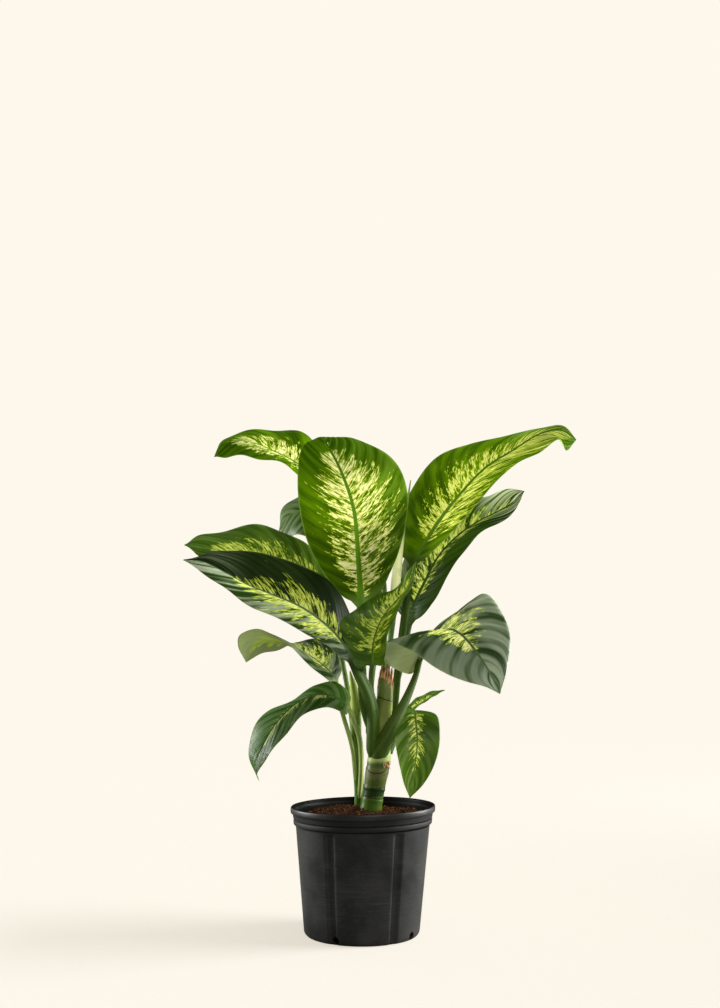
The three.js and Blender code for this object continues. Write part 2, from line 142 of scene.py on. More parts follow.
def mixShader(factor, a, b):
    return addNode(factor.tree, "ShaderNodeMixShader", {0: factor, 1: a, 2: b})[0]


def newMaterial(name):
    material = bpy.data.materials.new(name)
    material.use_nodes = True
    return material, material.node_tree, material.node_tree.nodes["Principled BSDF"]


def objectPlace(tree):
    return addNode(tree, "ShaderNodeTexCoord")["Object"]


def newGroup(name, kind, inputs, outputs):
    # Names of the sockets by their kind. A geometry tree's Geometry comes first.
    tree = bpy.data.node_groups.new(name, kind)
    for way, sockets in (("INPUT", inputs), ("OUTPUT", outputs)):
        for socketKind, names in sockets.items():
            for key in names.split(", "):
                tree.interface.new_socket(key, in_out=way, socket_type="NodeSocket" + socketKind)
    return tree, wiresOf(tree.nodes.new("NodeGroupInput").outputs), tree.nodes.new("NodeGroupOutput")


def newGeometryTree(name, inputs):
    inputs = {"Geometry": "Geometry", "Material": "Material", **inputs}
    return newGroup(name, "GeometryNodeTree", inputs, {"Geometry": "Geometry"})


# A level camera in front of the pot. The frame is tall, so the lens is shifted up instead of tilted.
cameraView = {"place": (0.0, -2.0, 0.484), "lens": 40.79, "shiftX": -0.0029, "shiftY": 0.1513,
              "filmHigh": 36, "filmWide": 36 * 720 / 1008}
# Metres and watts. The key stands high behind the right shoulder of the plant and shines through the leaves.
studioLights = {
    "keyLight": {"place": (1.5, 1.3, 2.4), "aimHeight": 0.6, "size": 0.6, "power": 120,
                 "tint": (1.0, 0.98, 0.92), "mirrored": False},
    "rearSoft": {"place": (-0.4, 1.9, 2.1), "aimHeight": 0.6, "size": 1.9, "power": 50, "mirrored": False},
    "leftSide": {"place": (-2.3, 0.6, 0.8), "aimHeight": 0.3, "size": 1.0, "power": 85},
    "rightSide": {"place": (2.6, 0.12, 1.3), "aimHeight": 0.3, "size": 1.9, "high": 0.5, "power": 52,
                  "tint": (1.0, 0.99, 0.97)},
    "rightLow": {"place": (2.3, 0.6, 0.6), "aimHeight": 0.2, "size": 0.9, "power": 75},
    "frontFill": {"place": (0.9, -2.9, 1.7), "aimHeight": 0.5, "size": 1.6, "power": 50},
}
stageLook = {"cream": (0.991, 0.939, 0.839), "ambient": 0.14, "paperAlbedo": 0.8, "paperBounce": 0.12,
             "paperLamp": "rightSide", "halfWide": 60, "front": -8, "back": 90}


def makeCamera(view):
    data = bpy.data.cameras.new("photoCamera")
    data.lens = view["lens"]
    data.sensor_fit = "VERTICAL"
    data.sensor_height = view["filmHigh"]
    data.sensor_width = view["filmWide"]
    data.shift_x = view["shiftX"]
    data.shift_y = view["shiftY"]
    camera = placeObject("photoCamera", data)
    camera.location = view["place"]
    camera.rotation_euler = (math.pi / 2, 0, 0)
    bpy.context.scene.camera = camera


def placeObject(name, data, material=None):
    thing = bpy.data.objects.new(name, data)
    bpy.context.scene.collection.objects.link(thing)
    if material is not None:
        data.materials.append(material)
    return thing


def lampAxis(values):
    return Vector(values["place"]) - Vector((0.0, 0.0, values["aimHeight"]))


def makeLight(name, values):
    data = bpy.data.lights.new(name, "AREA")
    data.shape = "ELLIPSE"
    data.size = values["size"]
    data.size_y = values.get("high", values["size"])
    data.energy = values["power"]
    data.color = values.get("tint", (1.0, 1.0, 1.0))
    lamp = placeObject(name, data)
    lamp.location = values["place"]
    lamp.rotation_euler = (-lampAxis(values)).to_track_quat("-Z", "Y").to_euler()
    lamp.visible_glossy = values.get("mirrored", True)
    return lamp


def cameraOr(tree, elsewhere):
    # One where the camera looks straight at it, less for all other light.
    return maths("MAXIMUM", addNode(tree, "ShaderNodeLightPath")["Is Camera Ray"], elsewhere)


def makeWorld(look):
    world = bpy.data.worlds.new("studio")
    bpy.context.scene.world = world
    world.use_nodes = True
    tree = world.node_tree
    strength = cameraOr(tree, look["ambient"])
    setInputs(tree.nodes["Background"], {"Color": look["cream"], "Strength": strength})


def paperMaterial(look, values):
    # Backlit paper: its glow fills up what the lamp leaves uneven, so only shadows are darker than the rest.
    paper, tree, shader = newMaterial("studioPaper")
    reach = vectorMaths("SUBTRACT", values["place"], objectPlace(tree))
    square = vectorMaths("DOT_PRODUCT", reach, reach, 1)
    axis = tuple(lampAxis(values).normalized())
    facing = maths("MAXIMUM", vectorMaths("DOT_PRODUCT", reach, axis, 1), 0.0)
    level = facing / (square * square) * (values["power"] * values["place"][2] / math.pi ** 2)
    ambient = tuple(look["ambient"] * tone for tone in look["cream"])
    lit = vectorMaths("ADD", scaled(values["tint"], level), ambient)
    glow = vectorMaths("SUBTRACT", look["cream"], scaled(lit, look["paperAlbedo"]))
    setInputs(shader, {"Base Color": (look["paperAlbedo"],) * 3, "Roughness": 1.0, "Specular IOR Level": 0.0,
                       "Emission Color": glow, "Emission Strength": cameraOr(tree, look["paperBounce"])})
    return paper


def makeFloor(look, lights, lamps):
    mesh = bpy.data.meshes.new("floor")
    corners = [(side * look["halfWide"], depth, 0) for side, depth in (
        (-1, look["front"]), (1, look["front"]), (1, look["back"]), (-1, look["back"]))]
    mesh.from_pydata(corners, [], [(0, 1, 2, 3)])
    floor = placeObject("floor", mesh, paperMaterial(look, lights[look["paperLamp"]]))
    # The other lamps pass the paper by, so one low shadow lies on it.
    spared = bpy.data.collections.new("sparedPaper")
    spared.objects.link(floor)
    for item in spared.collection_objects:
        item.light_linking.link_state = "EXCLUDE"
    for lamp in lamps:
        if lamp.name != look["paperLamp"]:
            lamp.light_linking.receiver_collection = spared
    bpy.context.scene.view_settings.view_transform = "Standard"


makeCamera(cameraView)
studioLamps = [makeLight(lampName, lampValues) for lampName, lampValues in studioLights.items()]
makeWorld(stageLook)
makeFloor(stageLook, studioLights, studioLamps)
print("studio ready")


# Streaks are sized across and along the veins, veins and folds by their pitch, in millimetres. Paint sets in
# between the two levels of its edge.
splashPaint = {"fine": (1.6, 7.0), "middle": (4.2, 19.0), "broad": (13.0, 34.0), "cloud": (24.0, 60.0),
               "fineWeight": 2.3, "middleWeight": 3.2, "broadWeight": 1.5, "edge": (0.39, 0.48),
               "coreEdge": (0.54, 1.0), "veinPitch": 7.4, "foldPitch": 21.0, "seedStep": 5.3}


def buildLeafPaint(paint):
    # Cream splashes beside the midrib, torn to flecks along the side veins. Vein and Across in millimetres.
    tree, given, out = newGroup("leafPaint", "ShaderNodeTree", {
        "Float": "Vein, Across, Share, Reach, Upper, Stalk, Seed, Density, Start, End, Coarse, Rib Width, "
                 "Spread Left, Spread Right, Shade Left, Shade Right, Shade Foot, Veil Left, Veil Right, "
                 "Tip Left, Tip Right",
        "Color": "Deep, Fresh, Yellow, Cream, Rib, Under, Stalk Tone, Veil Tone"},
        {"Color": "Color", "Float": "Height, Gloss"})
    vein, across, share, stalk = (given[key] for key in ("Vein", "Across", "Share", "Stalk"))
    away = maths("ABSOLUTE", across)
    rightward = ease(across, -1.5, 1.5)
    seeded = maths("SIGN", across) * 3.7 + given["Seed"]

    def streaks(size, detail=2.0, rough=0.6):
        place = joinXyz(vein / (given["Coarse"] * size[0]), away / (given["Coarse"] * size[1]), seeded)
        return noise(place, 1.0, detail, rough, 0.25) - 0.5

    def sided(key):
        return rightward * (given[key + " Right"] - given[key + " Left"]) + given[key + " Left"]

    # Where splashes may lie: rising from the foot of the blade, gone before the tip, densest beside the rib.
    fine, middle, broad = streaks(paint["fine"]), streaks(paint["middle"]), streaks(paint["broad"], 1.0, 0.5)
    end = broad * 0.16 + given["End"]
    rise, fall = ease(share, given["Start"], given["Start"] + 0.14), 1.0 - ease(share, end - 0.36, end)
    limit = rise * fall * sided("Spread")
    inward = 1.0 - given["Reach"] / maths("MAXIMUM", limit, 0.001)
    level = given["Density"] + maths("MINIMUM", maths("MAXIMUM", inward, -0.9) * 1.3, inward * 0.5)
    level = level + middle * paint["middleWeight"] + broad * paint["broadWeight"]
    level = (level + fine * paint["fineWeight"]) * ease(limit, 0.02, 0.15)
    splash, core = ease(level, *paint["edge"]), ease(level, *paint["coreEdge"])
    # Green ground with long soft veins, darker between them.
    veinWave = maths("SINE", vein * (2 * math.pi / paint["veinPitch"]))
    foldWave = maths("SINE", vein * (2 * math.pi / paint["foldPitch"]) + broad * 5.0)
    veinLine = ease(veinWave, 0.6, 1.0)
    cloud = foldWave * 0.10 + streaks(paint["cloud"])
    green = blend(ease(cloud, -0.2, 0.2), given["Deep"], given["Fresh"])
    green = blend(veinLine * 0.05, green, given["Yellow"])
    # Painted shade by halves: the two sides of a folded blade turn to different parts of the studio, so each
    # half is painted darker or lighter, splashes and underside too, and a painted shadow darkens the foot of
    # the blade.
    footShare = 1.0 - ease(share, 0.28, 0.46)
    shade = sided("Shade") * (footShare * (given["Shade Foot"] - 1.0) + 1.0)
    light = scaled(blend(core, given["Yellow"], given["Cream"]), maths("POWER", shade, 0.35))
    light = scaled(light, ease(fine, -0.16, 0.16, 0.72, 1.08))
    colour = blend(splash, scaled(green, shade), light)
    # Painted sheen: a grey painted reflection where the blade turns up to the light, in patches along the
    # veins, stronger towards the tip where given, and less over the splashes.
    veil = maths("MAXIMUM", sided("Veil"), sided("Tip") * ease(share, 0.62, 0.9))
    patchy = maths("ADD", cloud * 4.0, veinWave * 0.08 + 0.34, clamp=True)
    colour = blend(veil * patchy * (splash * -0.7 + 1.0), colour, given["Veil Tone"])
    # The midrib, and a thin light line on the margin.
    ribHalf = (maths("POWER", share, 0.7) * -5.0 + 6.6) * given["Rib Width"]
    rib = 1.0 - ease(away, ribHalf * 0.75, ribHalf)
    colour = blend(rib, colour, given["Rib"])
    colour = blend(ease(given["Reach"], 0.972, 0.992) * 0.2, colour, given["Under"])
    # The pale underside shows the splashes faintly, and veins and rib in the green of the stalk.
    pale = blend(splash * 0.6, scaled(given["Under"], shade), given["Yellow"])
    pale = blend(veinLine * 0.10, pale, given["Stalk Tone"])
    pale = blend(rib * 0.7, pale, given["Stalk Tone"])
    colour = blend(given["Upper"], pale, colour)
    stripe = noise(joinXyz(across / 1.7, vein / 60.0, given["Seed"]), 1.0, 2.0, 0.6)
    stripes = blend(ease(stripe, 0.3, 0.72), scaled(given["Stalk Tone"], 0.62), given["Stalk Tone"])
    grain = noise(joinXyz(vein / 3.0, away / 6.0, given["Seed"]), 1.0, 3.0, 0.6)
    setInputs(out, {"Color": blend(stalk, colour, stripes),
                    "Height": grain * 0.5 + veinWave * (1.0 - stalk) * -0.22,
                    "Gloss": grain * 0.14 + stalk * 0.22 - 0.07})
    return tree


leafPaint = buildLeafPaint(splashPaint)


# One skin from the foot of the stalk to the tip, in millimetres. stalk and rib are one centre line, left and
# right the margins seen from the upper face with the tip pointing away. spread and lean go left, right, the
# painted shade goes left, right, foot, and the painted sheen goes left, right, then left, right towards the
# tip.
leafShapes = {
    "leaf_tall_centre": {
        "stalk": [(24, 30, 336), (9, 27, 372), (1, 21, 412), (-3, 17, 487), (-5, 15, 540)],
        "rib": [(-4, 14, 578), (-8, 8, 654), (-16, 4, 741), (-37, 14, 806), (-62, 46, 858), (-78, 86, 885),
                (-87, 122, 879)],
        "left": [(-30, 12, 589), (-67, 4, 627), (-101, -4, 696), (-114, 0, 772), (-112, 26, 841),
                 (-101, 64, 873)],
        "right": [(20, 18, 589), (58, 8, 654), (79, 8, 749), (71, 26, 806), (38, 52, 851), (-20, 82, 882)],
        "radii": [8, 8.5, 8.5, 8, 7.5, 7], "wave": 2.2, "quilt": 0.5, "look": "sunlit",
        "spread": (0.47, 0.6), "density": 0.34, "end": 0.86, "ribWidth": 1.0, "lean": (0.08, 0.12),
        "start": -0.03, "shade": (0.9, 1.1, 0.36), "veil": (0.0, 0.08, 0.0, 0.0),
        "tones": {"Cream": (1.0, 0.98, 0.5)}},
    "leaf_upper_left": {
        "stalk": [(24, 42, 352), (30, 62, 400), (38, 76, 450), (39, 86, 514), (30, 100, 603),
                  (-20, 130, 729)],
        "rib": [(-77, 150, 814), (-122, 152, 845), (-165, 150, 869), (-208, 145, 885), (-245, 135, 887),
                (-266, 126, 876), (-276, 118, 854)],
        "left": [(-94, 112, 805), (-142, 80, 833), (-190, 72, 844), (-235, 84, 850), (-261, 102, 851)],
        "right": [(-79, 200, 872), (-123, 232, 923), (-178, 237.6, 928), (-225, 220, 922), (-261, 178, 901)],
        "radii": [7, 6.5, 6, 5.5, 5.5, 5.2, 5], "wave": 2.5, "quilt": 0.4, "look": "sunlit",
        "spread": (0.6, 0.45), "density": 0.32, "end": 0.92, "ribWidth": 0.8, "lean": (0.1, 0.1),
        "shade": (0.9, 0.95, 0.9)},
    "leaf_upper_right": {
        "stalk": [(47, 38, 339), (56, 46, 397), (62, 48, 456), (70, 48, 523), (81, 46, 603)],
        "rib": [(91, 44, 653), (109, 38, 681), (137, 32, 725), (173, 32, 771), (218, 40, 819),
                (268, 52, 853), (320, 64, 886), (358, 74, 895), (389, 82, 879)],
        "left": [(71, 62, 665), (64, 92, 725), (87, 112, 790), (140, 126, 855), (200, 128, 882),
                 (264, 118, 891), (325, 96, 905), (365, 84, 905)],
        "right": [(107, 28, 659), (137, 0, 685), (165, -16, 712), (192, -24, 739), (231, -18, 790),
                  (269, 4, 820), (311, 30, 846), (354, 52, 873), (367, 66, 856)],
        "radii": [8, 7.5, 7, 7, 6.5, 5.5], "wave": 2, "quilt": 0.5, "look": "sunlit", "spread": (0.42, 0.9),
        "density": 0.25, "end": 1.08, "ribWidth": 1.2, "lean": (0.08, 0.1), "shade": (0.95, 1.05, 0.4),
        "veil": (0.0, 0.0, 0.5, 0.3),
        "tones": {"Rib": (0.03, 0.075, 0.004), "Yellow": (0.29, 0.43, 0.01), "Cream": (0.66, 0.72, 0.18),
                  # The stalk tone is painted darker: painted shade where the stalk stands behind the front
                  # leaves.
                  "Stalk Tone": (0.035, 0.07, 0.01)}},
    "leaf_mid_right": {
        "stalk": [(30, 44, 322), (42, 58, 372), (56, 70, 423), (71, 80, 478)],
        "rib": [(86, 86, 549), (97, 82, 585), (115, 77, 623), (135, 74, 661), (165, 74, 696), (206, 80, 727),
                (247, 92, 749), (276, 103, 767), (298, 112, 790)],
        "left": [(68, 100, 566), (63, 122, 617), (85, 142, 688), (126, 150, 737), (179, 146, 772),
                 (227, 138, 783), (263, 128, 796)],
        "right": [(102, 70, 556), (128, 48, 587), (152, 34, 626), (173, 30, 664), (202, 40, 697),
                  (244, 62, 725), (278, 86, 750)],
        "radii": [7, 7, 7, 6.5, 5.5], "wave": 2.5, "quilt": 0.5, "look": "deep", "spread": (0.42, 0.3),
        "density": 0.15, "end": 1.1, "ribWidth": 0.9, "lean": (0.12, 0.12), "shade": (0.75, 0.55, 0.45),
        "veil": (0.06, 0.0, 0.95, 0.8),
        "tones": {"Veil Tone": (0.56, 0.66, 0.45), "Rib": (0.008, 0.02, 0.003),
                  # The stalk tone is painted darker: painted shade where the stalk stands behind the front
                  # leaves.
                  "Stalk Tone": (0.03, 0.06, 0.01)}},
    "leaf_mid_left": {
        "stalk": [(-8, 90, 232), (-11, 88, 280), (-18, 84, 350), (-26, 82, 415), (-38, 86, 480)],
        "rib": [(-56, 72, 576), (-104, 92, 626), (-167, 104, 658), (-230, 106, 673), (-285, 100, 682),
                (-327, 88, 688)],
        "left": [(-73, 34, 563), (-119, 30, 595), (-180, 34, 626), (-238, 46, 648), (-289, 66, 664)],
        "right": [(-53, 112, 616), (-104, 158, 693), (-158, 178, 725), (-201, 184, 735), (-262, 170, 724),
                  (-305, 136, 709)],
        "radii": [4.5, 5, 5, 5, 4.8, 4.5], "wave": 3, "quilt": 0.6, "look": "fresh", "spread": (0.5, 0.45),
        "density": 0.28, "end": 0.95, "ribWidth": 0.6, "lean": (0.1, 0.15), "shade": (0.8, 0.85, 0.8),
        "veil": (0.0, 0.05, 0.15, 0.15),
        "tones": {"Cream": (0.62, 0.7, 0.16)}},
    "leaf_front_left": {
        "stalk": [(22, 22, 298), (18, 14, 320), (18, 6, 344), (18.5, 0, 376), (11, -5, 414), (-5, -9, 450)],
        "rib": [(-21, -12, 481), (-43, -26, 516), (-70, -38, 543), (-108, -48, 569), (-155, -55, 589),
                (-195, -60, 605), (-239, -64, 629), (-271, -66, 644), (-305, -64, 648)],
        "left": [(-34, -34, 481), (-62, -66, 503), (-102, -88, 527), (-146, -100, 548), (-196, -104, 574),
                 (-238, -96, 602), (-270, -82, 626)],
        "right": [(-10, -3, 513), (-23, 1, 562), (-54, 0, 611), (-101, 0, 642), (-159, -8, 659),
                  (-210, -16, 669), (-255, -34, 664), (-281, -52, 654)],
        "radii": [8, 12, 12, 12, 12, 10.5, 7.5], "wave": 2.2, "quilt": 0.4, "look": "dusky",
        "spread": (0.66, 0.34), "density": 0.36, "end": 0.82, "coarse": 1.25, "ribWidth": 0.7,
        "lean": (0.0, 0.34), "shade": (1.12, 0.26, 0.9), "veil": (0.7, 0.0, 1.1, 0.2),
        "tones": {"Stalk Tone": (0.055, 0.11, 0.012), "Deep": (0.008, 0.028, 0.003),
                  "Fresh": (0.03, 0.072, 0.012), "Cream": (0.84, 0.92, 0.22)}},
    "leaf_back_left": {
        "stalk": [(12, 36, 348), (12, 64, 400), (17, 84, 450), (26, 100, 514), (40, 114, 606)],
        "rib": [(28, 120, 661), (-5, 136, 711), (-51, 158, 749), (-101, 184, 766), (-141, 205, 757),
                (-163, 216, 728)],
        "left": [(9, 98, 648), (-33, 104, 670), (-83, 134, 700), (-127, 178, 716), (-156, 208, 714)],
        "right": [(32, 146, 702), (-2, 184, 767), (-54, 215, 807), (-113, 235, 804), (-154, 232, 776)],
        "radii": [7, 6, 5.5, 5, 4.8, 4.5], "wave": 2.5, "quilt": 0.7, "look": "dusky", "spread": (0.2, 0.2),
        "density": 0.3, "end": 0.6, "ribWidth": 0.7, "shade": (0.9, 0.9, 0.9),
        "veil": (0.12, 0.12, 0.1, 0.1)},
    "leaf_front_centre": {
        "stalk": [(22, 30, 372), (18, 21, 400), (15, 15, 428), (14.5, 5, 452)],
        "rib": [(16, -22, 471), (17, -40, 495), (22, -54, 522), (36, -62, 553), (54, -62, 575),
                (73, -56, 597), (84, -46, 622), (91, -36, 647)],
        "left": [(-2, -42, 468), (-22, -60, 493), (-39, -72, 542), (-12, -66, 564), (19, -52, 587),
                 (52, -44, 598), (74, -36, 626)],
        "right": [(29, -30, 468), (39, -62, 495), (44, -86, 528), (57, -92, 558), (76, -82, 592),
                  (89, -58, 626)],
        "radii": [5.5, 5, 4.5, 4.5, 4.2], "wave": 1.8, "quilt": 0.5, "look": "fresh", "spread": (0.62, 0.6),
        "density": 0.24, "end": 1.0, "ribWidth": 0.6, "lean": (0.05, 0.1), "shade": (1.15, 0.6, 0.9),
        "veil": (0.1, 0.0, 0.7, 0.4),
        "tones": {"Cream": (0.58, 0.66, 0.14)}},
    "leaf_right": {
        "stalk": [(28, 23, 294), (28, 20, 312), (33, 13, 328), (42, 6, 346), (53, 2, 368), (66.5, 8, 392),
                  (79, 16, 417), (93.5, 25, 452)],
        "rib": [(103, 24, 485), (123, 6, 511), (146, -22, 530), (166, -52, 522), (187, -76, 497),
                (207, -92, 465), (228, -100, 422)],
        "left": [(115, 44, 514), (138, 50, 542), (177, 40, 572), (214, 18, 594), (238, -20, 566),
                 (250, -58, 519), (242, -86, 465)],
        "right": [(87, 30, 455), (44, 20, 471), (28, -6, 494), (41, -34, 509), (76, -66, 497),
                  (120, -92, 466), (169, -106, 443), (207, -106, 432)],
        "radii": [15, 18.5, 17, 15, 12.5, 10, 8, 6, 5.5], "wave": 1.5, "quilt": 1.1, "look": "dusky",
        "spread": (0.5, 0.42), "density": 0.26, "end": 0.76, "coarse": 1.4, "ribWidth": 0.8,
        "lean": (0.1, 0.05), "shade": (0.8, 0.8, 0.9), "veil": (0.4, 0.26, 0.15, 0.36),
        "tones": {"Stalk Tone": (0.055, 0.1, 0.01), "Under": (0.4, 0.5, 0.27), "Deep": (0.018, 0.044, 0.012),
                  "Fresh": (0.042, 0.088, 0.026), "Veil Tone": (0.52, 0.6, 0.46)}},
    "leaf_lower_left": {
        "stalk": [(-9, 84, 236), (-12, 76, 272), (-20, 64, 325), (-33, 54, 370), (-44, 47, 410)],
        "rib": [(-48, 39, 440), (-67, 26, 464), (-95, 18, 485), (-125, 8, 502), (-155, -4, 511),
                (-186, -14, 504), (-203, -16, 474)],
        "left": [(-56, 18, 439), (-77, -8, 455), (-104, -26, 481), (-129, -34, 504), (-157, -26, 523),
                 (-187, -18, 532), (-215, -14, 520), (-217, -14, 502)],
        "right": [(-39, 52, 456), (-45, 72, 487), (-85, 72, 516), (-117, 54, 510), (-147, 28, 497),
                  (-175, 6, 490), (-192, -8, 481)],
        "radii": [4, 4.5, 4.5, 4.3, 4, 4], "wave": 1.2, "quilt": 0.4, "look": "dusky", "spread": (0.4, 0.5),
        "density": 0.36, "end": 1.02, "ribWidth": 0.6, "lean": (0.1, 0.1), "shade": (1.0, 0.45, 0.9),
        "veil": (0.5, 0.3, 0.4, 0.4),
        "tones": {"Stalk Tone": (0.27, 0.36, 0.1), "Under": (0.28, 0.36, 0.15)}},
    "leaf_low_left": {
        "stalk": [(-6, 82, 226), (-3, 68, 270), (-3, 55, 315), (-7, 45, 343), (-16, 34, 370)],
        "rib": [(-26, 24, 391), (-51, 8, 413), (-83, -10, 417), (-116, -26, 402), (-148, -38, 370),
                (-171, -42, 331), (-185, -40, 296), (-179, -36, 270)],
        "left": [(-30, 4, 383), (-64, -26, 397), (-101, -48, 384), (-132, -60, 351), (-160, -58, 316),
                 (-181, -46, 283)],
        "right": [(-23, 26, 413), (-48, 18, 440), (-83, 20, 433), (-121, 8, 409), (-163, -2, 390),
                  (-190, -12, 360), (-197, -26, 315)],
        "radii": [5, 5, 5, 5, 5, 4.6], "wave": 1.5, "quilt": 0.4, "look": "deep", "spread": (0.3, 0.1),
        "density": 0.2, "end": 0.9, "ribWidth": 0.6, "lean": (0.1, 0.1), "shade": (1.15, 1.75, 0.9),
        "veil": (0.3, 0.28, 0.4, 0.4),
        "tones": {"Stalk Tone": (0.27, 0.36, 0.1), "Yellow": (0.26, 0.33, 0.07),
                  "Cream": (0.4, 0.46, 0.16)}},
    "leaf_low_right": {
        "stalk": [(46, 34, 313), (58, 44, 340), (70, 52, 364), (79, 52, 382)],
        "rib": [(84, 46, 386), (91, 26, 386), (93, 8, 369), (95, -4, 333), (89, -8, 283), (82, -6, 237)],
        "left": [(109, 44, 385), (131, 24, 380), (135, 4, 352), (129, -6, 307), (107, -8, 263)],
        "right": [(70, 44, 385), (62, 22, 375), (56, 4, 343), (63, -4, 298), (72, -6, 261)],
        "radii": [7, 6, 5, 4.2, 4], "wave": 1.5, "quilt": 0.4, "look": "fresh", "spread": (0.3, 0.35),
        "density": 0.2, "end": 0.85, "coarse": 0.8, "ribWidth": 0.42, "lean": (0.15, 0.15),
        "shade": (0.7, 1.15, 1.0), "veil": (0.0, 0.35, 0.1, 0.1)},
    "leaf_edge_right": {
        "stalk": [(40, 44, 316), (55, 64, 340), (68, 72, 362)],
        "rib": [(78, 74, 378), (95, 84, 392), (121, 100, 408), (152, 116, 422)],
        "left": [(84, 96, 395), (108, 128, 411), (134, 134, 420)],
        "right": [(86, 60, 383), (107, 70, 398), (132, 92, 412)],
        "radii": [5, 4.5, 4, 3.5], "wave": 1, "quilt": 0.3, "look": "fresh", "spread": (0.3, 0.3),
        "density": 0.3, "end": 0.8, "coarse": 0.7, "ribWidth": 0.4, "shade": (0.8, 0.8, 1.0)},
}
# Holds for each leaf that doesn't say otherwise.
usualLeaf = {"lean": (0.0, 0.0), "start": 0.06, "coarse": 1.0, "veil": (0.0, 0.0, 0.0, 0.0), "tones": {}}
leafBuild = {"stations": 132, "footStations": 12, "footShare": 0.1, "first": 0.012, "columns": 20,
             "crowding": 1.5, "stalkStations": 30, "edge": 0.55, "middle": 1.1, "camber": 0.05,
             "veinSweep": 0.8, "veinRise": 0.12, "veinBend": 0.04, "quiltStep": 23.0, "waves": 3.3,
             "ribTipWidth": 1.2, "ribTipHeight": 0.4, "channel": 0.55}


def curvePoints(points, t):
    # Centripetal curve through the points, t from 0 to 1.
    points = np.asarray(points, float)
    last = len(points) - 1
    place = np.clip(np.asarray(t, float), 0, 1) * last
    index = np.minimum(np.floor(place).astype(int), last - 1)
    weight = (place - index)[:, None]
    padded = np.vstack([2 * points[0] - points[1], points, 2 * points[-1] - points[-2]])
    p0, p1, p2, p3 = (padded[index + k] for k in range(4))
    d0, d1, d2 = (np.sqrt(np.linalg.norm(b - a, axis=1))[:, None] for a, b in ((p0, p1), (p1, p2), (p2, p3)))
    m1 = ((p1 - p0) / d0 - (p2 - p0) / (d0 + d1) + (p2 - p1) / d1) * d1
    m2 = ((p2 - p1) / d1 - (p3 - p1) / (d1 + d2) + (p3 - p2) / d2) * d1
    w2, w3 = weight ** 2, weight ** 3
    return p1 + m1 * weight + (-3 * p1 + 3 * p2 - 2 * m1 - m2) * w2 + (2 * p1 - 2 * p2 + m1 + m2) * w3


def evenCurve(points, divisions=400):
    # Gives a function of the share of arc length, and the length up to each division.
    grid = np.linspace(0, 1, divisions + 1)
    steps = np.linalg.norm(np.diff(curvePoints(points, grid), axis=0), axis=1)
    lengths = np.concatenate([[0], np.cumsum(steps)])
    return (lambda u: curvePoints(points, np.interp(np.asarray(u) * lengths[-1], lengths, grid))), lengths


def unit(v):
    return v / np.maximum(np.linalg.norm(v, axis=-1, keepdims=True), 1e-9)


def smoothstep(low, high, x):
    x = np.clip((x - low) / (high - low), 0, 1)
    return x * x * (3 - 2 * x)


def bell(x):
    return np.exp(-x ** 2)


def bladeSheet(leaf, build, share, u, lines):
    # The middle sheet of the blade: points, the way each one faces, and the width of its half.
    centre, forward, side, margins, bladeLength = lines
    normalBase = np.cross(side, forward)
    point, normal, width = [], [], []
    for s in share:
        a, right = abs(s), int(s >= 0)
        reach = margins[right] - centre
        wide = np.linalg.norm(reach, axis=1)
        ownNormal = np.cross(reach, forward) * (1 if right else -1)
        clear = (wide > 1) & (np.linalg.norm(ownNormal, axis=1) > 0.2 * wide)
        pull = (np.where(clear, np.minimum(1, wide / 12), 0) * min(1, a / 0.06))[:, None]
        facing = unit(normalBase * (1 - pull) + unit(ownNormal) * pull)
        wave = np.sin(2 * math.pi * (build["waves"] * u + 0.4 * right))
        ripple = leaf["wave"] * a * a * np.minimum(1, wide / 25) * wave
        sweep = u - (build["veinRise"] + leaf["lean"][right]) * u * a - build["veinBend"] * a * a
        quilt = leaf["quilt"] * np.sin(2 * math.pi * sweep * bladeLength / build["quiltStep"])
        quilt *= np.minimum(1, wide / 40) * max(0, math.sin(math.pi * min(1, a * 1.08))) ** 0.8
        quilt *= np.sin(math.pi * np.clip(u, 0, 1)) ** 0.5
        lift = build["camber"] * wide * 4 * a * (1 - a) + ripple + quilt
        point.append(centre + reach * a + facing * lift[:, None])
        normal.append(facing)
        width.append(wide)
    return np.stack(point, axis=1), np.stack(normal, axis=1), np.stack(width, axis=1)


def stalkRings(leaf, line, joint, t, count, side):
    # Rounded beneath, a shallow channel above, walking the frame back from the blade.
    places = curvePoints(line, t * joint)
    ahead, behind = np.minimum(1, t * joint + 1e-3), np.maximum(0, t * joint - 1e-3)
    tangents = unit(curvePoints(line, ahead) - curvePoints(line, behind))
    angles = math.pi - (np.arange(2 * count) + 0.5) * math.pi / count
    c, s = np.cos(angles), np.sin(angles)
    top = np.where(s > 0, 0.85 - 0.22 * bell(c / 0.5), 1.0)
    radius = np.interp(t * (len(leaf["radii"]) - 1), np.arange(len(leaf["radii"])), leaf["radii"])
    rings = np.zeros((len(t), 2 * count, 3))
    for i in range(len(t) - 1, -1, -1):
        side = unit(side - tangents[i] * np.dot(side, tangents[i]))
        up = unit(np.cross(side, tangents[i]))
        rings[i] = places[i] + radius[i] * (c[:, None] * side + (top * s)[:, None] * up)
    return rings, angles


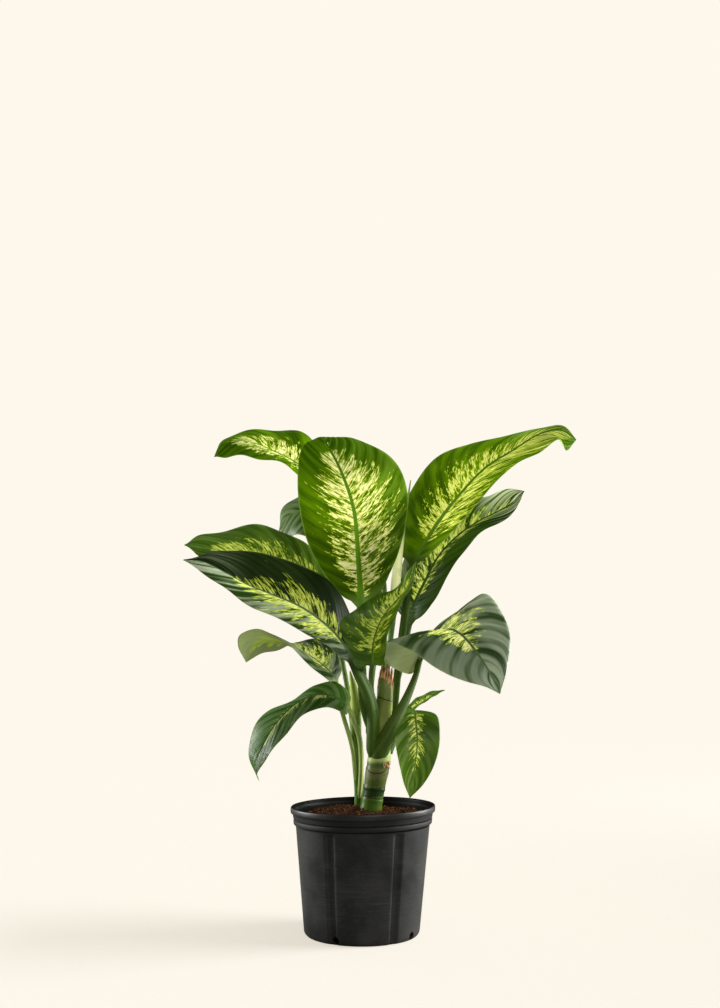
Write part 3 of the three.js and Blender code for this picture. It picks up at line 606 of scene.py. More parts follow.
def leafSkin(leaf, build):
    line = leaf["stalk"] + leaf["rib"]
    joint = len(leaf["stalk"]) / (len(line) - 1)
    along, lengths = evenCurve(line)
    start = lengths[round(joint * (len(lengths) - 1))] / lengths[-1]
    bladeLength, stalkLength = (1 - start) * lengths[-1], start * lengths[-1]
    ribAt = lambda u: along(start + (1 - start) * np.clip(u, 0, 1))
    tangentAt = lambda u: unit(ribAt(u + 0.02) - ribAt(u - 0.02))
    sides = [evenCurve(leaf["rib"][:1] + leaf[key] + leaf["rib"][-1:])[0] for key in ("left", "right")]
    marginsAt = lambda u: [margin(u ** build["veinSweep"]) for margin in sides]

    def sideAt(u):
        left, right = marginsAt(np.clip(u, 0.08, 0.93))
        forward = tangentAt(u)
        return unit(right - left - forward * np.sum((right - left) * forward, axis=1, keepdims=True))

    # Columns crowd towards the midrib, whose ridge is narrow.
    half = (np.arange(build["columns"] + 1) / build["columns"]) ** build["crowding"]
    share = np.concatenate([-half[:0:-1], half])
    u = np.concatenate([np.linspace(build["first"], build["footShare"], build["footStations"])[:-1],
                        np.linspace(build["footShare"], 1, build["stations"])])
    count, side = len(share), sideAt(u)
    lines = ribAt(u), tangentAt(u), side, marginsAt(u), bladeLength
    point, normal, width = bladeSheet(leaf, build, share, u, lines)

    # Thickness, the ridge of the rib beneath and its channel above. All thin out towards the tip.
    reach = np.abs(share) * width
    stalkEnd = leaf["radii"][-1]
    ribFoot = stalkEnd * 1.15
    ribWidth = (stalkEnd + (build["ribTipWidth"] - stalkEnd) * np.minimum(1, u * 1.1))[:, None]
    ribHeight = (ribFoot + (build["ribTipHeight"] - ribFoot) * np.minimum(1, u * 1.15) ** 0.7)[:, None]
    rise = bell(reach / ribWidth)
    root = np.maximum(0, 1 - u / build["footShare"])[:, None]
    spread = share * (stalkEnd * root * 0.9 + 0.5 * (1 - np.minimum(1, width / 6)))
    point = point + side[:, None, :] * spread[:, :, None]
    thick = (build["middle"] + (build["edge"] - build["middle"]) * np.abs(share)) / 2
    channel = build["channel"] * bell(reach / (ribWidth * 0.55)) * smoothstep(0.06, 0.16, u)[:, None]
    upper = point + normal * (thick + 0.7 * stalkEnd * root * rise - channel)[:, :, None]
    lower = point - normal * (thick + ribHeight * rise * 0.9)[:, :, None]
    t = np.linspace(0, 1, build["stalkStations"] + 1)[:-1]
    stalk, angles = stalkRings(leaf, line, joint, t, count, sideAt(np.array([0.0]))[0])
    rings = np.concatenate([stalk, np.concatenate([upper, lower[:, ::-1]], axis=1)])

    # What the paint reads: vein and across in millimetres, then share; reach, upper, stalk.
    n = len(t)
    signed = np.concatenate([share, share[::-1]])
    veinRise = build["veinRise"] + np.where(signed < 0, *leaf["lean"])
    place, trait = np.zeros(rings.shape), np.zeros(rings.shape)
    veinShare = u[:, None] * (1 - veinRise * np.abs(signed)) - build["veinBend"] * signed ** 2
    place[n:, :, 0] = veinShare * bladeLength
    place[n:, :, 1] = signed * np.concatenate([width, width[:, ::-1]], axis=1)
    place[n:, :, 2] = u[:, None]
    place[:n, :, 0] = (t[:, None] - 1) * stalkLength
    place[:n, :, 1] = angles * stalkEnd
    trait[n:, :, 0] = np.abs(signed)
    trait[:, :count, 1] = 1
    trait[:, :, 2] = np.concatenate([np.ones(n), 1 - smoothstep(0.0, 0.05, u)])[:, None]
    return rings / 1000, place, trait


def ringFaces(rows, count, first=0):
    # Faces of a closed skin over rings of equal length, capped at both ends.
    index = first + np.arange(rows * count).reshape(rows, count)
    around = np.roll(index, -1, axis=1)
    faces = np.stack([index[:-1], around[:-1], around[1:], index[1:]], axis=2).reshape(-1, 4).tolist()
    return faces + [index[0][::-1].tolist(), index[-1].tolist()]


def skinMesh(name, rings):
    mesh = bpy.data.meshes.new(name)
    mesh.from_pydata(rings.reshape(-1, 3).tolist(), [], ringFaces(*rings.shape[:2]))
    mesh.validate()
    mesh.shade_smooth()
    return mesh


def storeValues(mesh, key, values):
    vectors = values.ndim > 1
    layer = mesh.attributes.new(key, "FLOAT_VECTOR" if vectors else "FLOAT", "POINT")
    layer.data.foreach_set("vector" if vectors else "value", values.reshape(-1).astype(np.float32))


# Linear colours. Deep and Fresh are the green ground, the rest as named. The looks are lit and shaded copies
# of one leaf, with light and shade painted into their greens: sunlit is brighter and more saturated for the
# backlit top leaves, deep and dusky are darker for leaves in shade, fresh lies between.
leafLooks = {
    "sunlit": {"through": 0.5, "rough": 0.5, "shine": 0.02, "tones": {
        "Deep": (0.024, 0.075, 0.0003), "Fresh": (0.072, 0.18, 0.0004), "Yellow": (0.36, 0.52, 0.012),
        "Cream": (0.92, 0.92, 0.42), "Rib": (0.05, 0.14, 0.004), "Under": (0.2, 0.32, 0.06),
        "Stalk Tone": (0.1, 0.2, 0.03), "Veil Tone": (0.28, 0.4, 0.12)}},
    "fresh": {"through": 0.35, "rough": 0.42, "shine": 0.18, "tones": {
        "Deep": (0.024, 0.068, 0.002), "Fresh": (0.062, 0.14, 0.005), "Yellow": (0.34, 0.48, 0.02),
        "Cream": (0.76, 0.8, 0.26), "Rib": (0.06, 0.13, 0.012), "Under": (0.17, 0.25, 0.07),
        "Stalk Tone": (0.1, 0.17, 0.035), "Veil Tone": (0.22, 0.28, 0.17)}},
    "deep": {"through": 0.28, "rough": 0.38, "shine": 0.22, "tones": {
        "Deep": (0.008, 0.032, 0.001), "Fresh": (0.026, 0.078, 0.003), "Yellow": (0.3, 0.44, 0.02),
        "Cream": (0.66, 0.72, 0.2), "Rib": (0.03, 0.07, 0.012), "Under": (0.14, 0.2, 0.06),
        "Stalk Tone": (0.1, 0.18, 0.045), "Veil Tone": (0.17, 0.2, 0.15)}},
    "dusky": {"through": 0.2, "rough": 0.36, "shine": 0.16, "tones": {
        "Deep": (0.01, 0.034, 0.005), "Fresh": (0.034, 0.078, 0.014), "Yellow": (0.42, 0.58, 0.02),
        "Cream": (0.98, 1.0, 0.36), "Rib": (0.06, 0.11, 0.04), "Under": (0.22, 0.3, 0.11),
        "Stalk Tone": (0.1, 0.17, 0.04), "Veil Tone": (0.42, 0.5, 0.36)}},
}


def leafMaterial(name, leaf):
    look = leafLooks[leaf["look"]]
    material, tree, shader = newMaterial(name + "_skin")
    (vein, across, share), (reach, upper, stalk) = (
        splitXyz(addNode(tree, "ShaderNodeAttribute", attribute_name=key)["Vector"])
        for key in ("leafPlace", "leafTrait"))
    given = {"Vein": vein, "Across": across, "Share": share, "Reach": reach, "Upper": upper, "Stalk": stalk,
             "Seed": leaf["seed"] * splashPaint["seedStep"], "Rib Width": leaf["ribWidth"],
             **{key.capitalize(): leaf[key] for key in ("density", "start", "end", "coarse")}}
    given.update(zip(("Spread Left", "Spread Right"), leaf["spread"]))
    given.update(zip(("Shade Left", "Shade Right", "Shade Foot"), leaf["shade"]))
    given.update(zip(("Veil Left", "Veil Right", "Tip Left", "Tip Right"), leaf["veil"]))
    given.update({**look["tones"], **leaf["tones"]})
    paint = addNode(tree, "ShaderNodeGroup", given, node_tree=leafPaint)
    setInputs(shader, {"Base Color": paint["Color"], "Roughness": paint["Gloss"] + look["rough"],
                       "Normal": bump(paint["Height"], 0.45, 0.0012), "Specular IOR Level": look["shine"]})
    # Light that comes through the blade is yellower and more saturated.
    through = blend(1.0, paint["Color"], (1.0, 0.98, 0.5), "MULTIPLY")
    through = addNode(tree, "ShaderNodeGamma", {0: through, 1: 0.78})[0]
    glow = addNode(tree, "ShaderNodeBsdfTranslucent", {"Color": through})[0]
    body = mixShader(stalk * (-0.8 * look["through"]) + look["through"], Wire(shader.outputs[0]), glow)
    # The two skins of a blade count as one: seen from inside, a skin lets everything pass.
    inside = addNode(tree, "ShaderNodeNewGeometry")["Backfacing"]
    clear = addNode(tree, "ShaderNodeBsdfTransparent")[0]
    setInputs(tree.nodes["Material Output"], {"Surface": mixShader(inside, body, clear)})
    return material


def makeLeaf(name, leaf):
    rings, place, trait = leafSkin(leaf, leafBuild)
    mesh = skinMesh(name + "_fine", rings)
    storeValues(mesh, "leafPlace", place)
    storeValues(mesh, "leafTrait", trait)
    piece = placeObject(name + "_fine", mesh, leafMaterial(name, leaf))
    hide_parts(name)
    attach(piece, "root")
    "leaf_bright" if leaf["look"] == "sunlit" else "leaf_deep"


for leafNumber, (leafName, leafValues) in enumerate(leafShapes.items(), 1):
    makeLeaf(leafName, {**usualLeaf, "seed": leafNumber, **leafValues})
print("leaves ready:", len(leafShapes))


# Stations: x, y, z and radius, in millimetres; all else in metres. Bands: height from which a colour holds,
# the colour, its soft edge. Scars: height on the axis, fall to the right, dip in front.
stemShapes = {
    "main_cane": {
        "stations": [(8, 24, 172, 17), (12, 24, 200, 19), (14.5, 24, 215, 19.4), (15.8, 24, 224, 18.8),
                     (17, 24, 231, 19.2), (18, 24, 236, 18.4), (19.3, 24, 246, 18.6), (20, 24, 251, 19.8),
                     (20.8, 24, 256, 19), (23, 24, 270, 20), (25.4, 24, 282, 21), (26.6, 24, 288, 20.2),
                     (28, 24, 297, 20.8), (29.6, 24, 312, 20), (30.6, 24, 327, 17.6), (34, 25, 354, 13.6),
                     (38.4, 26, 380, 12.6), (39.3, 26, 408, 14.3), (39.5, 27, 430, 14),
                     (39.7, 28, 446, 11.6), (40.2, 28, 456, 8.4), (40.6, 28, 464, 6)],
        "sides": 64, "lump": 0.0009, "slot": "cane",
        "skin": {"name": "caneSkin", "scarTone": (0.03, 0.013, 0.006),
                 "scars": [(0.235, 0.24, 0.1), (0.2945, 0.0, 0.75), (0.412, 0.3, 0.0)],
                 "bands": [(0, (0.04, 0.085, 0.005)), (0.2375, (0.012, 0.03, 0.004), 0.001),
                           (0.2535, (0.055, 0.076, 0.01), 0.0015), (0.268, (0.09, 0.105, 0.028), 0.004),
                           (0.289, (0.055, 0.09, 0.016), 0.003), (0.298, (0.27, 0.34, 0.1), 0.004),
                           (0.318, (0.065, 0.115, 0.014), 0.006), (0.345, (0.17, 0.21, 0.04), 0.012),
                           (0.4, (0.1, 0.135, 0.025), 0.012), (0.452, (0.1, 0.05, 0.02), 0.003)]}},
    "left_shoot": {
        "stations": [(-7, 86, 172, 8.6), (-7.4, 86, 212, 8.4), (-7, 85, 237, 8.6), (-8, 82, 265, 9.4),
                     (-10.4, 77, 300, 10.2), (-12.4, 71, 340, 10), (-13, 66, 372, 10.2),
                     (-13.8, 62, 405, 9.4), (-17, 59, 430, 6.8), (-21, 57, 448, 3.4), (-23.4, 56, 458, 1.2)],
        "sides": 40, "lump": 0.0005, "slot": "shoot",
        "skin": {"name": "shootSkin",
                 "bands": [(0, (0.06, 0.13, 0.015)), (0.3, (0.13, 0.21, 0.035), 0.02),
                           (0.38, (0.36, 0.44, 0.1), 0.02)]}},
    "new_rolled_leaf": {
        "stations": [(39, 37, 398, 3.5), (42, 43, 425, 3.5), (46, 52, 480, 4), (51, 54, 530, 5.5),
                     (56, 52, 585, 8), (60, 50, 625, 8.5), (66, 50, 680, 7), (73, 52, 725, 4.5),
                     (80, 54, 765, 2.6), (86, 55, 801, 1)],
        "sides": 40, "lump": 0.0004, "slot": "new_leaf",
        "skin": {"name": "spearSkin",
                 "bands": [(0, (0.1, 0.19, 0.04)), (0.56, (0.96, 0.98, 0.5), 0.02),
                           (0.7, (0.22, 0.34, 0.06), 0.03)]}},
}
stemBuild = {"points": 260, "step": 0.0015, "pitch": 70.0, "axisX": 0.025, "axisY": 0.024}


def runTree(thing, tree, values):
    # Sets the modifier's inputs by identifier, evaluates once and gives a plain mesh.
    modifier = thing.modifiers.new(tree.name, "NODES")
    modifier.node_group = tree
    for item in tree.interface.items_tree:
        if item.in_out == "INPUT" and item.name in values:
            modifier[item.identifier] = values[item.name]
    applyModifiers(thing)
    thing.data.name = thing.name


def applyModifiers(thing):
    bpy.context.view_layer.update()
    depsgraph = bpy.context.evaluated_depsgraph_get()
    mesh = bpy.data.meshes.new_from_object(thing.evaluated_get(depsgraph), depsgraph=depsgraph)
    thing.modifiers.clear()
    thing.data = mesh


def endTree(geometry, given, out):
    whole = addNode(geometry.tree, "GeometryNodeRealizeInstances", {"Geometry": geometry})[0]
    inputs = {"Geometry": whole, "Material": given["Material"]}
    setInputs(out, {"Geometry": addNode(geometry.tree, "GeometryNodeSetMaterial", inputs)[0]})


def smoothMoved(geometry, moves):
    moved = addNode(geometry.tree, "GeometryNodeSetPosition", {"Geometry": geometry, **moves})[0]
    return addNode(geometry.tree, "GeometryNodeSetShadeSmooth", {"Geometry": moved, "Shade Smooth": True})[0]


def buildStemTree():
    # Sweeps a round section along a line of points that carry their radius, then roughens it.
    tree, given, out = newGeometryTree("stemTree", {"Int": "Sides", "Float": "Step, Lump Size, Lump Pitch"})
    line = addNode(tree, "GeometryNodeMeshToCurve", {"Mesh": given["Geometry"]})[0]
    inputs = {"Curve": line, "Length": given["Step"]}
    even = addNode(tree, "GeometryNodeResampleCurve", inputs, mode="LENGTH")[0]
    radius = addNode(tree, "GeometryNodeInputNamedAttribute", {"Name": "stemRadius"}, data_type="FLOAT")[0]
    inputs = {"Resolution": given["Sides"], "Radius": 1.0}
    section = addNode(tree, "GeometryNodeCurvePrimitiveCircle", inputs)[0]
    inputs = {"Curve": even, "Profile Curve": section, "Scale": radius, "Fill Caps": True}
    swept = addNode(tree, "GeometryNodeCurveToMesh", inputs)[0]
    place = vectorMaths("MULTIPLY", addNode(tree, "GeometryNodeInputPosition")[0], (1.0, 1.0, 0.35))
    push = (noise(place, given["Lump Pitch"]) - 0.5) * given["Lump Size"]
    offset = scaled(addNode(tree, "GeometryNodeInputNormal")[0], push)
    endTree(smoothMoved(swept, {"Offset": offset}), given, out)
    return tree


def stemMaterial(name, bands, scarTone=(0.0, 0.0, 0.0), scars=()):
    # Colour bands up the stem, broken by fibres and crossed by the scars of old leaves.
    material, tree, shader = newMaterial(name)
    place = objectPlace(tree)
    x, y, z = splitXyz(place)
    fibres, patches = noise(place, (420.0, 420.0, 16.0), 3.0), noise(place, 55.0, 3.0)
    level = noise(place, 38.0) * 0.006 + (z - 0.003)
    colour = bands[0][1]
    for height, tone, soft in bands[1:]:
        colour = blend(ease(level, height - soft, height + soft), colour, tone)
    colour = blend(ease(fibres, 0.35, 0.7, 0.0, 0.35), colour, scaled(colour, 1.5))
    colour = blend(ease(patches, 0.5, 0.75, 0.0, 0.5), colour, scaled(colour, 0.6))
    relief = fibres * 0.3
    for height, fall, dip in scars:
        tilted = level + (x - stemBuild["axisX"]) * fall - (y - stemBuild["axisY"]) * dip
        line = 1.0 - ease(maths("ABSOLUTE", tilted - height), 0.0003, 0.0017)
        colour = blend(line * 0.9, colour, scarTone)
        relief = relief - line
    setInputs(shader, {"Base Color": colour, "Roughness": patches * 0.2 + 0.3, "Specular IOR Level": 0.14,
                       "Normal": bump(relief, 0.5, 0.001)})
    return material


def makeStem(name, values, build, tree):
    stations = np.array(values["stations"], float)
    t = np.linspace(0, 1, build["points"])
    line = curvePoints(stations[:, :3], t) / 1000
    radius = np.interp(t * (len(stations) - 1), np.arange(len(stations)), stations[:, 3]) / 1000
    mesh = bpy.data.meshes.new(name + "_fine")
    mesh.from_pydata(line.tolist(), [(i, i + 1) for i in range(len(line) - 1)], [])
    storeValues(mesh, "stemRadius", radius)
    piece = placeObject(name + "_fine", mesh)
    runTree(piece, tree, {"Sides": values["sides"], "Step": build["step"], "Lump Size": values["lump"],
                          "Lump Pitch": build["pitch"], "Material": stemMaterial(**values["skin"])})
    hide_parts(name)
    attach(piece, "root")


stemTree = buildStemTree()
for stemName, stemValues in stemShapes.items():
    makeStem(stemName, stemValues, stemBuild, stemTree)


# Papery brown strips of dead sheath, in millimetres and degrees. Each strip: azimuth round the stem, height
# from and to, radius there, outward curl, width.
scrapShape = {"seed": 5, "thick": 0.5, "stations": 9, "lean": 12, "jitter": 3, "crumple": 0.6,
              "tipHalf": 0.4, "strips": [
    (-150, 440, 462, 12.5, 1.5, 7), (-118, 446, 470, 11.5, 3.0, 8), (-88, 442, 466, 12.0, 4.5, 6),
    (-62, 436, 470, 12.8, 2.0, 8), (-34, 428, 464, 13.8, 3.5, 7), (-8, 424, 456, 14.2, 2.5, 6),
    (24, 440, 468, 12.5, 2.0, 8), (70, 444, 466, 12.0, 2.5, 9), (-38, 300, 287, 20.6, 1.6, 6),
    (-20, 298, 284, 20.4, 2.6, 5), (-58, 297, 288, 20.6, 1.2, 7)]}


def scrapMaterial():
    material, tree, shader = newMaterial("drySheath")
    fibres = noise(objectPlace(tree), (600.0, 600.0, 90.0), 3.0)
    colour = blend(ease(fibres, 0.36, 0.60), (0.080, 0.032, 0.012), (0.52, 0.28, 0.125))
    setInputs(shader, {"Base Color": colour, "Roughness": 0.85, "Specular IOR Level": 0.1})
    return material


def makeScraps(shape, cane):
    rng = np.random.default_rng(shape["seed"])
    cane = np.array(cane, float)
    verts, faces = [], []
    for azimuth, low, high, radius, curl, width in shape["strips"]:
        rising = high > low
        strip = ringFaces(shape["stations"], 4, len(verts))
        faces += [face[::-1] for face in strip] if rising else strip
        lean = rng.uniform(-shape["lean"], shape["lean"])
        for share in np.linspace(0, 1, shape["stations"]):
            z = low + (high - low) * share
            centre = np.array([*(np.interp(z, cane[:, 2], cane[:, k]) for k in (0, 1)), z])
            angle = math.radians(azimuth + lean * share + rng.uniform(-shape["jitter"], shape["jitter"]))
            # The strips at the top lean in over the stub as they rise.
            reach = radius * (1 - 0.25 * share * rising) + curl * share ** 2
            reach += shape["crumple"] * math.sin(share * 9 + azimuth)
            half = 0.5 * width * (1 - share ** 2) * rng.uniform(0.7, 1.1) + shape["tipHalf"]
            outward = np.array([math.cos(angle), math.sin(angle), 0])
            sideways = np.array([-math.sin(angle), math.cos(angle), 0])
            for across, lift in ((-half, 0), (half, 0), (half, shape["thick"]), (-half, shape["thick"])):
                verts.append(((centre + outward * (reach + lift) + sideways * across) / 1000).tolist())
    mesh = bpy.data.meshes.new("torn_sheath")
    mesh.from_pydata(verts, [], faces)
    piece = placeObject("torn_sheath", mesh, scrapMaterial())
    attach(piece, "root")


makeScraps(scrapShape, stemShapes["main_cane"]["stations"])
print("stems ready")

# Millimetres and degrees.
potShape = {"height": 224, "rimRadius": 126.5, "wallTop": 118.2, "wallFoot": 101.5, "wallFrom": 8,
            "wallHigh": 195, "wall": 1.8, "rimTilt": 0.014, "footShift": 2, "grooves": 6, "grooveDepth": 4.4,
            "grooveTurn": 1.3, "grooveHalf": 4.2, "grooveEdge": 1.3, "grooveTop": 189, "cornerFrom": 94,
            "cornerTo": 98.5, "turns": 288, "sharpAngle": 50, "drainRadius": 7, "drainHeight": 8.5,
            "drainReach": (88, 112), "drainSides": 28, "drainAngles": (-117, -34, 62, 148)}
# What the tree is told: lengths, which it takes in metres, and angles and shares.
potLengths = "height, footShift, grooveDepth, grooveTop, cornerFrom, cornerTo"
potPlain = "rimTilt, grooveTurn, grooveHalf, grooveEdge"


def wallRadius(z):
    rise = (z - potShape["wallFrom"]) / potShape["wallHigh"]
    return potShape["wallFoot"] + (potShape["wallTop"] - potShape["wallFoot"]) * rise


def potProfile(rim, wall, high):
    # Radius and height round the section, from the middle of the underside over the rim to the inside floor.
    foot = [(0.5, 2), (60, 2), (60, 0.2), (60.8, 0), (62, 0.4), (63, 2), (84, 2), (86, 0.4), (87, 0),
            (95, 0), (97.4, 0.5), (99.5, 2.6), (100.9, 5)]
    outer = [(wallRadius(z), z) for z in (8, 14, 30, 60, 90, 120, 150, 180, 184, 187, 188.6, 190)]
    band = [(117.4, 191.2), (118.6, 192.2), (120.2, 193.2), (120.9, 194.2), (121.1, 196), (121.4, 200),
            (121.1, 201), (120.2, 201.6), (119.9, 202), (120.2, 202.4), (121.2, 203), (121.6, 204.4),
            (122.6, 211.4), (123, 212.4), (124.6, 213), (125.8, 213.5), (126.3, 214.6)]
    lip = [(rim, 216.5), (rim, 221), (rim - 0.4, 222.8), (rim - 1.3, high - 0.2), (rim - 2.4, high),
           (rim - 4, high - 0.1), (rim - 5, high - 1), (rim - 5.6, 221.5), (rim - 6, 219.4), (120.2, 214),
           (119.2, 208), (118.4, 203), (117.8, 197)]
    inner = [(wallRadius(z) - wall, z) for z in (190, 188.6, 187, 184, 180, 150, 100, 50, 9)]
    floor = [(95, 4.4), (86, 2.6), (84, 4.2), (63, 4.2), (60, 3.2), (0.5, 3.2)]
    return np.array(foot + outer + band + lip + inner + floor) / 1000


def buildPotTree():
    # Presses upright grooves into a turned pot, then shifts its foot and tips its rim.
    tree, given, out = newGeometryTree("potTree", {"Int": "grooves", "Float": potLengths + ", " + potPlain})
    x, y, z = splitXyz(addNode(tree, "GeometryNodeInputPosition")[0])
    angle = maths("ARCTAN2", y, x) * (180 / math.pi) - given["grooveTurn"]
    off = maths("PINGPONG", angle, maths("DIVIDE", 180.0, given["grooves"]))
    inGroove = 1.0 - ease(off, given["grooveHalf"] - given["grooveEdge"], given["grooveHalf"] + 0.1)
    below = 1.0 - ease(z, given["grooveTop"] - 0.003, given["grooveTop"])
    radius = levelReach(x, y)
    press = inGroove * below * ease(radius, given["cornerFrom"], given["cornerTo"]) * given["grooveDepth"]
    share = 1.0 - press / maths("MAXIMUM", radius, 0.001)
    lift = z / given["height"]
    pressedX = x * share
    moved = joinXyz(pressedX - given["footShift"] * (1.0 - lift), y * share,
                    pressedX * given["rimTilt"] * (lift * lift) + z)
    endTree(smoothMoved(given["Geometry"], {"Position": moved}), given, out)
    return tree


def levelReach(x, y):
    return maths("SQRT", x * x + y * y)


def potMaterial():
    # Matte black plastic: fine grain, faint level scratches half way up, dust near the foot.
    material, tree, shader = newMaterial("blackPlastic")
    place = objectPlace(tree)
    x, y, z = splitXyz(place)
    clouds, scratches = noise(place, 16.0, 3.0), noise(place, (14.0, 14.0, 900.0), 3.0, 0.7)
    colour = blend(ease(clouds, 0.3, 0.7), (0.0070, 0.0078, 0.0068), (0.0205, 0.0205, 0.0185))
    halfWay = 1.0 - ease(maths("ABSOLUTE", z - 0.095), 0.03, 0.095)
    scratched = ease(scratches, 0.52, 0.66) * ease(clouds, 0.35, 0.55) * halfWay
    colour = blend(scratched * 0.55, colour, (0.055, 0.055, 0.050))
    speckle = ease(noise(place, (150.0, 150.0, 260.0), 4.0, 0.75), 0.54, 0.68)
    colour = blend(speckle * 0.34, colour, (0.045, 0.045, 0.041))
    dust = ease(z, 0.03, 0.0) * ease(clouds, 0.4, 0.7, 0.0, 0.25)
    colour = blend(dust, colour, (0.06, 0.05, 0.04))
    # The band under the rim is rougher, and painted darker: painted shade under the lip.
    band = ease(z, 0.191, 0.195) * ease(z, 0.2145, 0.2125)
    setInputs(shader, {"Base Color": blend(band * 0.75, colour, (0.002, 0.0024, 0.0018)),
                       "Roughness": clouds * 0.34 + (band * 0.2 + 0.26), "Specular IOR Level": 0.26,
                       "Normal": bump(scratched * -0.6 + noise(place, 900.0), 0.2, 0.0004)})
    # The inside of the rim is painted dark: painted shade, a matte near-black where shade falls inside the
    # pot.
    innerEdge = ease(z, 0.2165, 0.2195, 0.1203, 0.1253)
    within = ease(levelReach(x, y) - innerEdge, 0.0005, -0.0005) * ease(z, 0.190, 0.192)
    paintedInsideShade = addNode(tree, "ShaderNodeBsdfDiffuse", {"Color": (0.004, 0.0045, 0.0038)})[0]
    both = mixShader(within * 0.85, Wire(shader.outputs[0]), paintedInsideShade)
    setInputs(tree.nodes["Material Output"], {"Surface": both})
    return material


def drainCutter(shape):
    # One short round bar through the foot for each drain hole.
    verts, faces = [], []
    sides = shape["drainSides"]
    for angle in shape["drainAngles"]:
        faces += ringFaces(2, sides, len(verts))
        c, s = math.cos(math.radians(angle)), math.sin(math.radians(angle))
        for reach in shape["drainReach"]:
            for k in range(sides):
                across = shape["drainRadius"] * math.cos(2 * math.pi * k / sides)
                up = shape["drainRadius"] * math.sin(2 * math.pi * k / sides)
                verts.append(((reach * c - across * s) / 1000, (reach * s + across * c) / 1000,
                              (shape["drainHeight"] + up) / 1000))
    mesh = bpy.data.meshes.new("drainCutter")
    mesh.from_pydata(verts, [], faces)
    return placeObject("drainCutter", mesh)


def makePot(shape):
    angles = np.linspace(0, 2 * math.pi, shape["turns"], endpoint=False)
    profile = potProfile(shape["rimRadius"], shape["wall"], shape["height"])
    radius, height = profile[:, :1], profile[:, 1:]
    rings = np.stack([radius * np.cos(angles), radius * np.sin(angles), height + 0 * angles], axis=2)
    piece = placeObject("nursery_pot", skinMesh("nursery_pot", rings))
    given = {key: shape[key] / 1000 for key in potLengths.split(", ")}
    given.update({key: shape[key] for key in potPlain.split(", ")})
    runTree(piece, buildPotTree(), {"grooves": shape["grooves"], "Material": potMaterial(), **given})
    cutter = drainCutter(shape)
    cut = piece.modifiers.new("drains", "BOOLEAN")
    cut.operation = "DIFFERENCE"
    cut.object = cutter
    cut.solver = "EXACT"
    applyModifiers(piece)
    bpy.data.objects.remove(cutter)
    piece.data.set_sharp_from_angle(angle=math.radians(shape["sharpAngle"]))
    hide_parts("pot")
    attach(piece, "root")


makePot(potShape)
print("pot ready")

# Millimetres, but the crumbs' sizes are in metres and their density to a square metre.
soilShape = {"level": 204, "turns": 160, "gap": 2.6, "topGap": 2.4, "topWall": 196, "steps": 42,
             "crumbs": {
                 "soil_crumbs": {"Density": 120000.0, "Smallest": 0.0006, "Largest": 0.0019, "Flatness": 0.7,
                                 "Lowest": 0.193, "Seed": 4},
                 "bark_chips": {"Density": 14000.0, "Smallest": 0.0018, "Largest": 0.0042, "Flatness": 0.35,
                                "Lowest": 0.193, "Seed": 11}}}


def soilHeight(x, y):
    mound = 11.5 * np.exp(-((x + 12) ** 2 / 6400 + (y - 40) ** 2 / 5200))
    right = 5 * np.exp(-((x - 84) ** 2 + (y - 28) ** 2) / 900)
    left = -4 * smoothstep(-60, -115, x)
    lumps = 1.3 * np.sin(x * 0.11 + 1) * np.cos(y * 0.13) + 0.9 * np.sin(x * 0.23 + y * 0.19)
    fine = 0.8 * np.sin(x * 0.53 + 2 * np.sin(y * 0.31)) * np.sin(y * 0.47 + 1.5 * np.sin(x * 0.29))
    return soilShape["level"] + mound + right + left + lumps + fine


def soilBed(soil, pot):
    # Fills the pot inside its grooves, then closes over the top in ever smaller rings.
    angles = np.linspace(0, 2 * math.pi, soil["turns"], endpoint=False)
    sector = 360 / pot["grooves"]
    off = np.abs((np.degrees(angles) - pot["grooveTurn"] + sector / 2) % sector - sector / 2)
    inGroove = 1 - smoothstep(pot["grooveHalf"], pot["grooveHalf"] + pot["grooveEdge"], off)
    pressed = pot["grooveDepth"] * inGroove
    rings = []
    for radius, z in ((92, 6), (wallRadius(12) - soil["gap"], 12), (wallRadius(188) - soil["gap"], 188)):
        x, y = (radius - pressed) * np.cos(angles), (radius - pressed) * np.sin(angles)
        lift = z / pot["height"]
        tipped = z + pot["rimTilt"] * x * lift ** 2
        rings.append(np.stack([x - pot["footShift"] * (1 - lift), y, tipped], axis=1))
    for share in np.linspace(1, 0.005, soil["steps"]):
        radius = (wallRadius(soil["topWall"]) - soil["topGap"] - pressed * (share > 0.95)) * share
        x, y = radius * np.cos(angles), radius * np.sin(angles)
        rings.append(np.stack([x - 0.2, y, soilHeight(x, y)], axis=1))
    return skinMesh("potting_soil", np.array(rings) / 1000)


def soilMaterial():
    material, tree, shader = newMaterial("pottingMix")
    place = objectPlace(tree)
    specks, patches, fibres = noise(place, 420.0, 3.0, 0.6), noise(place, 60.0, 3.0), noise(place, 260.0)
    colour = blend(ease(specks, 0.3, 0.7), (0.003, 0.0014, 0.0006), (0.055, 0.020, 0.0075))
    colour = blend(ease(patches, 0.5, 0.7, 0.0, 0.5), colour, (0.085, 0.033, 0.013))
    colour = blend(ease(fibres, 0.60, 0.68, 0.0, 0.8), colour, (0.24, 0.105, 0.042))
    setInputs(shader, {"Base Color": colour, "Normal": bump(specks, 0.9, 0.0015), "Roughness": 0.92,
                       "Specular IOR Level": 0.08})
    return material


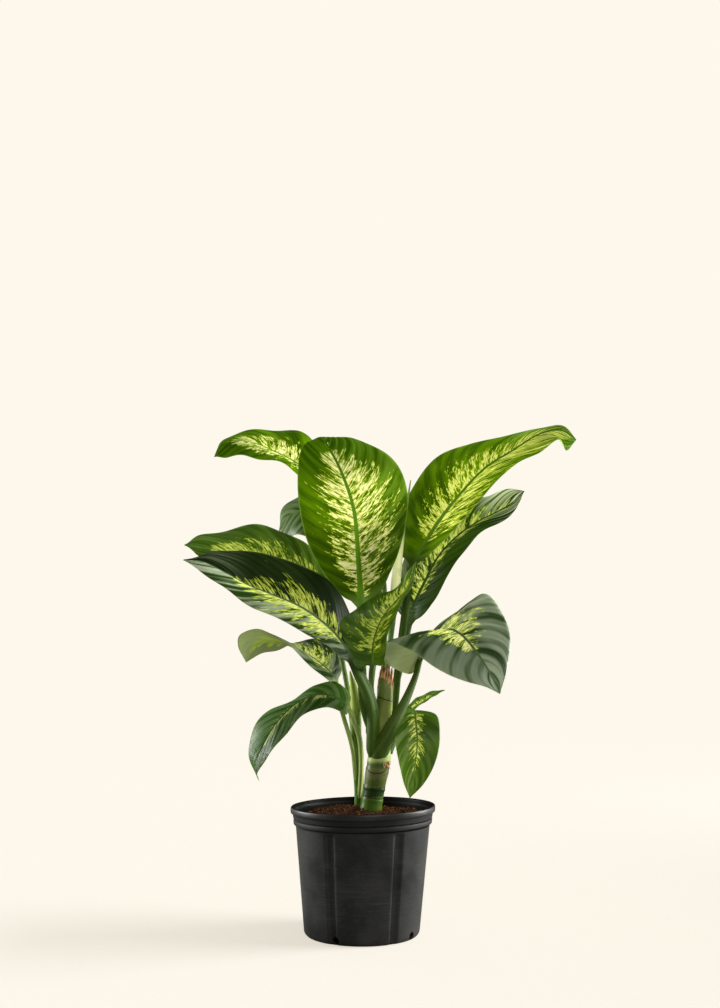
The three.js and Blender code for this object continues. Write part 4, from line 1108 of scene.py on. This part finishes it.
def buildCrumbTree():
    # Strews small broken crumbs over the top of the soil, each turned and sized at random from one seed.
    tree, given, out = newGeometryTree("crumbTree", {
        "Int": "Seed", "Float": "Density, Smallest, Largest, Flatness, Lowest"})
    place = addNode(tree, "GeometryNodeInputPosition")[0]
    normal = addNode(tree, "GeometryNodeInputNormal")[0]
    onTop, facing = (
        addNode(tree, "FunctionNodeCompare", {0: splitXyz(vector)[2], 1: least}, operation="GREATER_THAN")[0]
        for vector, least in ((place, given["Lowest"]), (normal, 0.5)))
    chosen = addNode(tree, "FunctionNodeBooleanMath", {0: onTop, 1: facing}, operation="AND")[0]
    inputs = {"Mesh": given["Geometry"], "Selection": chosen, "Density": given["Density"],
              "Seed": given["Seed"]}
    points = addNode(tree, "GeometryNodeDistributePointsOnFaces", inputs)["Points"]
    # One crumb: a small ball pushed out of shape, then flattened.
    ball = addNode(tree, "GeometryNodeMeshIcoSphere", {"Radius": 1.0, "Subdivisions": 1})[0]
    lumps = addNode(tree, "ShaderNodeTexNoise", {"Vector": place, "Scale": 1.1, "Detail": 2.0})["Color"]
    grown = scaled(vectorMaths("SUBTRACT", lumps, (0.5, 0.5, 0.5)), 1.9)
    crumb = addNode(tree, "GeometryNodeSetPosition", {"Geometry": ball, "Offset": grown})[0]
    inputs = {"Geometry": crumb, "Scale": joinXyz(1.0, 0.7, given["Flatness"])}
    flat = addNode(tree, "GeometryNodeTransform", inputs)[0]
    inputs = {0: (0.0, 0.0, 0.0), 1: (6.28, 6.28, 6.28), "Seed": given["Seed"]}
    turn = addNode(tree, "FunctionNodeRandomValue", inputs, data_type="FLOAT_VECTOR")[0]
    inputs = {2: given["Smallest"], 3: given["Largest"], "Seed": 9}
    size = addNode(tree, "FunctionNodeRandomValue", inputs, data_type="FLOAT")[1]
    inputs = {"Points": points, "Instance": flat, "Rotation": turn, "Scale": size}
    endTree(addNode(tree, "GeometryNodeInstanceOnPoints", inputs)[0], given, out)
    return tree


def makeSoil(soil, pot):
    skin = soilMaterial()
    bed = placeObject("potting_soil", soilBed(soil, pot), skin)
    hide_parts("soil")
    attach(bed, "root")
    crumbTree = buildCrumbTree()
    for name, values in soil["crumbs"].items():
        piece = placeObject(name, bed.data.copy())
        runTree(piece, crumbTree, {"Material": skin, **values})
        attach(piece, "root")


makeSoil(soilShape, potShape)
print("soil ready")
